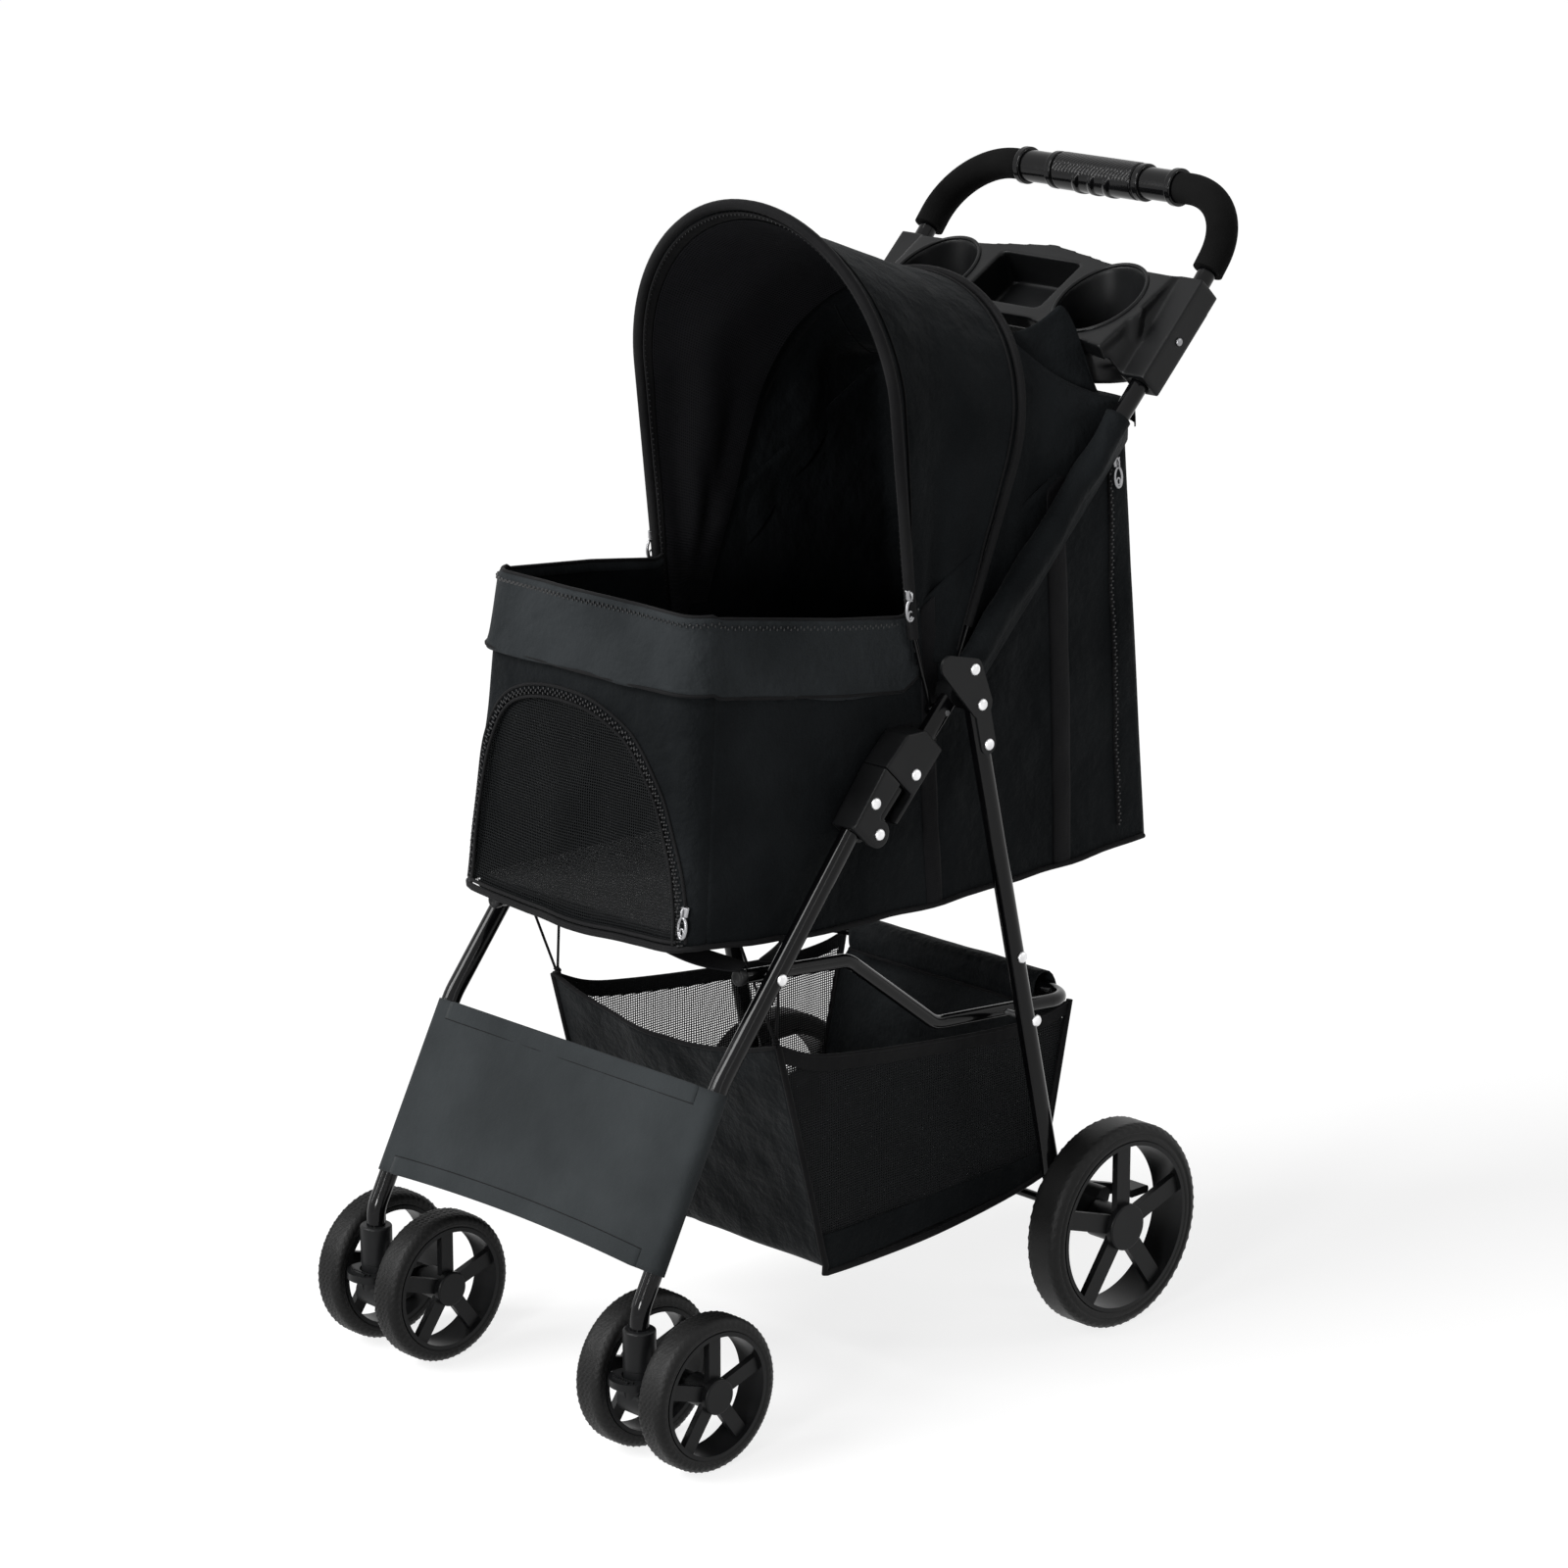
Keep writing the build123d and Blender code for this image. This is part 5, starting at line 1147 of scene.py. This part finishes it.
def panel_hem(rows, at, drop):
    """Turned hem along one edge of the foot panel, with a stitched line."""
    a, b = np.asarray(rows[at]), np.asarray(rows[at + (1 if at == 0 else -1)])
    way = (b - a) / np.linalg.norm(b - a, axis=1)[:, None]
    out = np.array([0, -shin[1], shin[0]]) * 0.7
    return [a - way * 0.5 + out * 0.2, a + way * 1.5 + out, a + way * drop * 0.5 + out,
            a + way * drop + out * 0.9, a + way * (drop + 0.8)]


def make_panel():
    """Foot panel with hems and stitch lines."""
    rows = foot_panel()
    panel = surface("foot_canvas", rows, grey_cloth, 1.2)
    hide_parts("foot_panel")
    middle = slice(16, 44)
    pieces = []
    for at in (0, -1):
        hem = panel_hem(rows, at, 15.0)
        pieces.append(surface(f"canvas_hem_{at}", [row[middle] for row in hem], grey_cloth, 0.8))
        pieces.append(rope(f"canvas_stitch_{at}", [tuple(p) for p in hem[3][middle]], 0.45, trim_cloth))
    for piece in (panel, join("canvas_hems", pieces)):
        rigid(piece, "front_frame")


def strap_band(name, a, b, wide, twist=0.0):
    """Flat webbing between two points, bellied a little under its own weight."""
    a, b = Vector(a), Vector(b)
    way = (b - a).normalized()
    across = way.cross(Vector((0, 0, 1))).normalized()
    up = across.cross(way)
    rows = []
    for t in np.linspace(0, 1, 14):
        middle = a.lerp(b, t) - Vector((0, 0, 2.5 * sin(pi * t)))
        turn = twist * sin(pi * t)
        lay = across * cos(turn) + up * sin(turn)
        rows.append([tuple(middle + lay * wide * k) for k in np.linspace(-0.5, 0.5, 5)])
    return surface(name, rows, webbing, 1.3)


def make_straps():
    """Webbing and cords that hang the cabin and the basket from the bar."""
    pieces = []
    for side in (1, -1):
        ends = [((147, -214, 386.8), (84, -250, 403.5)), ((146, -182, 383.8), (100, -84, 399.0))]
        for k, (a, b) in enumerate(ends):
            a, b = ((side * p[0], p[1], p[2]) for p in (a, b))
            pieces.append(strap_band(f"webbing_{k}_{side}", a, b, 24.0, 0.25))
        for k, y in enumerate((-205, -160)):
            foot, top = (side * cord_foot[0], *cord_foot[1:]), (side * cord_foot[0], y, cord_top_z)
            mid = [tuple(Vector(foot).lerp(Vector(top), t)) for t in (0.3, 0.6)]
            line = spline([foot, mid[0], mid[1], top], 24)
            pieces.append(rope(f"cord_{k}_{side}", line, 1.2, trim_cloth))
        knot = [(side * cord_foot[0] + 2.2 * cos(a), cord_foot[1] + 2.2 * sin(a), 306.0 + 0.5 * a)
                for a in np.linspace(0, 4 * pi, 30)]
        pieces.append(rope(f"cord_knot_{side}", knot, 1.3, trim_cloth))
    piece = join("webbing_and_cords", pieces)
    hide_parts("support_straps")
    soft(piece, "handle")


def make_mat():
    """Padded floor mat with a bound edge."""
    half_w, y_low, y_high, r = 133.0, -254.0, 256.0, 12.0
    outline = []
    for cx, cy, start in ((half_w - r, y_high - r, 0), (-half_w + r, y_high - r, pi / 2),
                          (-half_w + r, y_low + r, pi), (half_w - r, y_low + r, 1.5 * pi)):
        outline += [(cx + r * cos(start + a), cy + r * sin(start + a)) for a in np.linspace(0, pi / 2, 8)]
    outline = evenly(outline + outline[:1], 121)[:-1]
    rows = []
    crown = ((0.0, -1.0), (0.0, 0.0), (0.012, 1.7), (0.05, 2.4), (0.4, 2.0), (0.75, 2.2), (0.98, 2.1))
    for shrink, lift in crown:
        row = []
        for x, y in outline:
            x, y = x * (1 - shrink), y * (1 - shrink)
            uneven = 0.5 * ripple((x, y, 0), 40, 71) * (shrink > 0.02)
            row.append((x, y + 1.0 * shrink, floor_z(y, 411.9) + lift + uneven))
        rows.append(row)
    top = surface("mat_top", rows, mat_cloth, 0.8, loop=True)
    edge = [(x, y, floor_z(y, 411.8)) for x, y in outline]
    binding = rope("mat_binding", edge, 2.4, trim_cloth, closed=True)
    piece = join("padded_mat", [top, binding])
    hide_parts("floor_mat")
    soft(piece, "handle")


def make_grip():
    """Round hand grip: three raised zig-zag ribs on its lower front, fine knurling on the rest."""
    rows = []
    for k in range(-94, 95):
        x = k * 0.5
        end = smooth(44.0, 47.0, abs(x))
        row = []
        for a in np.linspace(0, 2 * pi, 96, endpoint=False):
            r = 16.4 - 2.6 * end ** 2
            front = (a + pi) % (2 * pi) - pi
            lane = x + 7.0 * abs(((front * 2.2 / pi) % 2) - 1) - 3.5
            for centre in (-18.0, 0.0, 18.0):
                if abs(front) < 1.25:
                    r += 1.3 * np.exp(-((lane - centre) / 3.0) ** 4) * (1 - smooth(0.95, 1.25, abs(front)))
            if abs(front) >= 1.25:
                r += 0.25 * (sin(x * 1.6 + a * 20) > 0.2) * (1 - end)
            down = a - radians(118)
            row.append((x, grip_centre[0] + r * cos(down), grip_centre[1] + r * sin(down)))
        rows.append(row)
    grip = surface("ribbed_grip", rows, gloss, 0.0, levels=0, loop=True)
    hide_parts("centre_grip")
    rigid(grip, "handle")


# ---------------------------------------------------------------- wheels


def tyre(name, x_mid, axle, outer_r, wide, rim_r, body, stands_for):
    """Foam tyre: rounded tread with diamond blocks and a ridge on each side."""
    profile = []
    half = wide / 2
    edge = tyre_edge_r
    for a in np.linspace(0, pi / 2, 8):
        profile.append((half - edge + edge * cos(a), outer_r - edge + edge * sin(a)))
    side = [(half - 1.2, rim_r + 0.4), (half - 0.2, rim_r + 2.0), (half, rim_r + 5.0),
            (half - 0.9, rim_r + 6.2), (half - 0.9, rim_r + 7.6), (half, outer_r - edge - 0.6)]
    right = side + profile
    crown = [(x, outer_r) for x in np.linspace(half - edge, -half + edge, 10)[1:-1]]
    line = right + crown + [(-x, r) for x, r in reversed(right)]
    around = 240
    blocks = 60
    rows = []
    for x, r in line:
        row = []
        for k in range(around):
            a = 2 * pi * k / around
            lift = 0.0
            if r > outer_r - edge - 0.1:
                u, v = blocks * a / (2 * pi), x / 4.4
                lift = 1.8 * (abs(((u + v) % 1) - 0.5) + abs(((u - v) % 1) - 0.5) - 0.62)
            row.append((x_mid + x, axle[0] + (r + lift - 0.7) * cos(a), axle[1] + (r + lift - 0.7) * sin(a)))
        rows.append(row)
    made = surface(name, rows, tread, 0.0, levels=0, loop=True)
    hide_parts(stands_for)
    rigid(made, body)


def make_tyres():
    """All six tyres."""
    for side, hand in sides:
        for which, offset in (("inner", -twin_offset), ("outer", twin_offset)):
            tyre(f"tread_front_{which}_{hand}", side * (leg_x + offset), front_axle, front_wheel_r,
                 front_wheel_w, front_rim_r, f"front_wheel_{which}_{hand}",
                 f"front_tyre_{which}_{hand}")
        tyre(f"tread_rear_{hand}", side * rear_wheel_x, rear_axle, rear_wheel_r, rear_wheel_w,
             rear_rim_r, f"rear_wheel_{hand}", f"rear_tyre_{hand}")


# ---------------------------------------------------------------- studio


def area_light(name, place_at, aim, size, power):
    """Soft rectangular studio light."""
    lamp = bpy.data.lights.new(name, "AREA")
    lamp.shape = "RECTANGLE"
    lamp.size, lamp.size_y = size
    lamp.energy = power
    obj = bpy.data.objects.new(name, lamp)
    bpy.context.scene.collection.objects.link(obj)
    obj.location = place_at
    obj.rotation_euler = (Vector(aim) - Vector(place_at)).to_track_quat("-Z", "Y").to_euler()


def seen_directly(tree):
    """1 for rays from the camera and for those in reflections and glass, 0 for light."""
    path = node(tree, "ShaderNodeLightPath")
    some = node(tree, "ShaderNodeMath", operation="MAXIMUM")
    every = node(tree, "ShaderNodeMath", operation="MAXIMUM")
    tree.links.new(path.outputs["Is Camera Ray"], some.inputs[0])
    tree.links.new(path.outputs["Is Glossy Ray"], some.inputs[1])
    tree.links.new(some.outputs["Value"], every.inputs[0])
    tree.links.new(path.outputs["Is Transmission Ray"], every.inputs[1])
    return every.outputs["Value"]


def pale_floor():
    """White floor: mostly its own light to the camera, and mid grey to the light that it throws back."""
    material, tree, bsdf = shader("pale_floor", Base_Color=(0.34, 0.34, 0.34, 1), Roughness=0.9,
                                  Specular_IOR_Level=0.1)
    white = node(tree, "ShaderNodeEmission", Color=(1, 1, 1, 1), Strength=1.15)
    shade = node(tree, "ShaderNodeBsdfDiffuse", Color=(0.95, 0.95, 0.95, 1))
    pale, shown = node(tree, "ShaderNodeMixShader", Fac=0.30), node(tree, "ShaderNodeMixShader")
    tree.links.new(white.outputs[0], pale.inputs[1])
    tree.links.new(shade.outputs[0], pale.inputs[2])
    tree.links.new(seen_directly(tree), shown.inputs["Fac"])
    tree.links.new(bsdf.outputs[0], shown.inputs[1])
    tree.links.new(pale.outputs[0], shown.inputs[2])
    tree.links.new(shown.outputs[0], tree.nodes["Material Output"].inputs["Surface"])
    return material


def studio():
    """Pale floor, pale surroundings, soft lights and the photograph's camera."""
    scene = bpy.context.scene
    world = bpy.data.worlds.new("pale_room")
    world.use_nodes = True
    back = world.node_tree.nodes["Background"]
    back.inputs["Color"].default_value = (1.0, 1.0, 1.0, 1)
    tree = world.node_tree
    level = node(tree, "ShaderNodeMapRange")
    level.inputs["To Min"].default_value, level.inputs["To Max"].default_value = 0.14, 1.0
    tree.links.new(seen_directly(tree), level.inputs["Value"])
    tree.links.new(level.outputs["Result"], back.inputs["Strength"])
    scene.world = world
    material = pale_floor()
    mesh = bpy.data.meshes.new("floor")
    size = 14.0
    corners = [(-size, -size, 0), (size, -size, 0), (size, size, 0), (-size, size, 0)]
    mesh.from_pydata(corners, [], [(0, 1, 2, 3)])
    place("floor", mesh, material)
    sun = bpy.data.lights.new("sky_panel", "SUN")
    sun.energy, sun.angle = 2.7, radians(30)
    lamp = bpy.data.objects.new("sky_panel", sun)
    scene.collection.objects.link(lamp)
    lamp.rotation_euler = Vector((-0.40, -1.0, 0.95)).to_track_quat("Z", "Y").to_euler()
    area_light("key", (-2.0, -2.6, 1.7), (0, 0, 0.5), (0.25, 1.9), 22)
    area_light("fill", (1.2, -3.1, 1.05), (0, 0.1, 0.7), (0.6, 0.6), 46)
    area_light("rim", (2.4, 2.0, 1.9), (0, 0, 0.6), (0.16, 1.8), 11)
    area_light("strip", (2.6, -1.2, 1.5), (0, 0, 0.5), (0.10, 1.8), 4)
    aim, distance = Vector((-0.0523, 0.0230, 0.45367)), 4.31394
    lens = bpy.data.cameras.new("camera")
    lens.lens, lens.sensor_width = 115.99, 36.0
    camera = bpy.data.objects.new("camera", lens)
    scene.collection.objects.link(camera)
    azimuth, elevation = radians(46.14), radians(15.44)
    back = Vector((sin(azimuth) * cos(elevation), -cos(azimuth) * cos(elevation), sin(elevation)))
    camera.location = aim + back * distance
    camera.rotation_euler = back.to_track_quat("Z", "Y").to_euler()
    scene.camera = camera
    scene.view_settings.view_transform = "Standard"


dress_cad_nodes()
make_mouldings()
cup_rims()
bar_plugs()
make_cabin()
make_door()
make_pulls()
make_hood()
storage_squash(make_basket())
make_panel()
make_straps()
make_mat()
make_grip()
make_tyres()
studio()
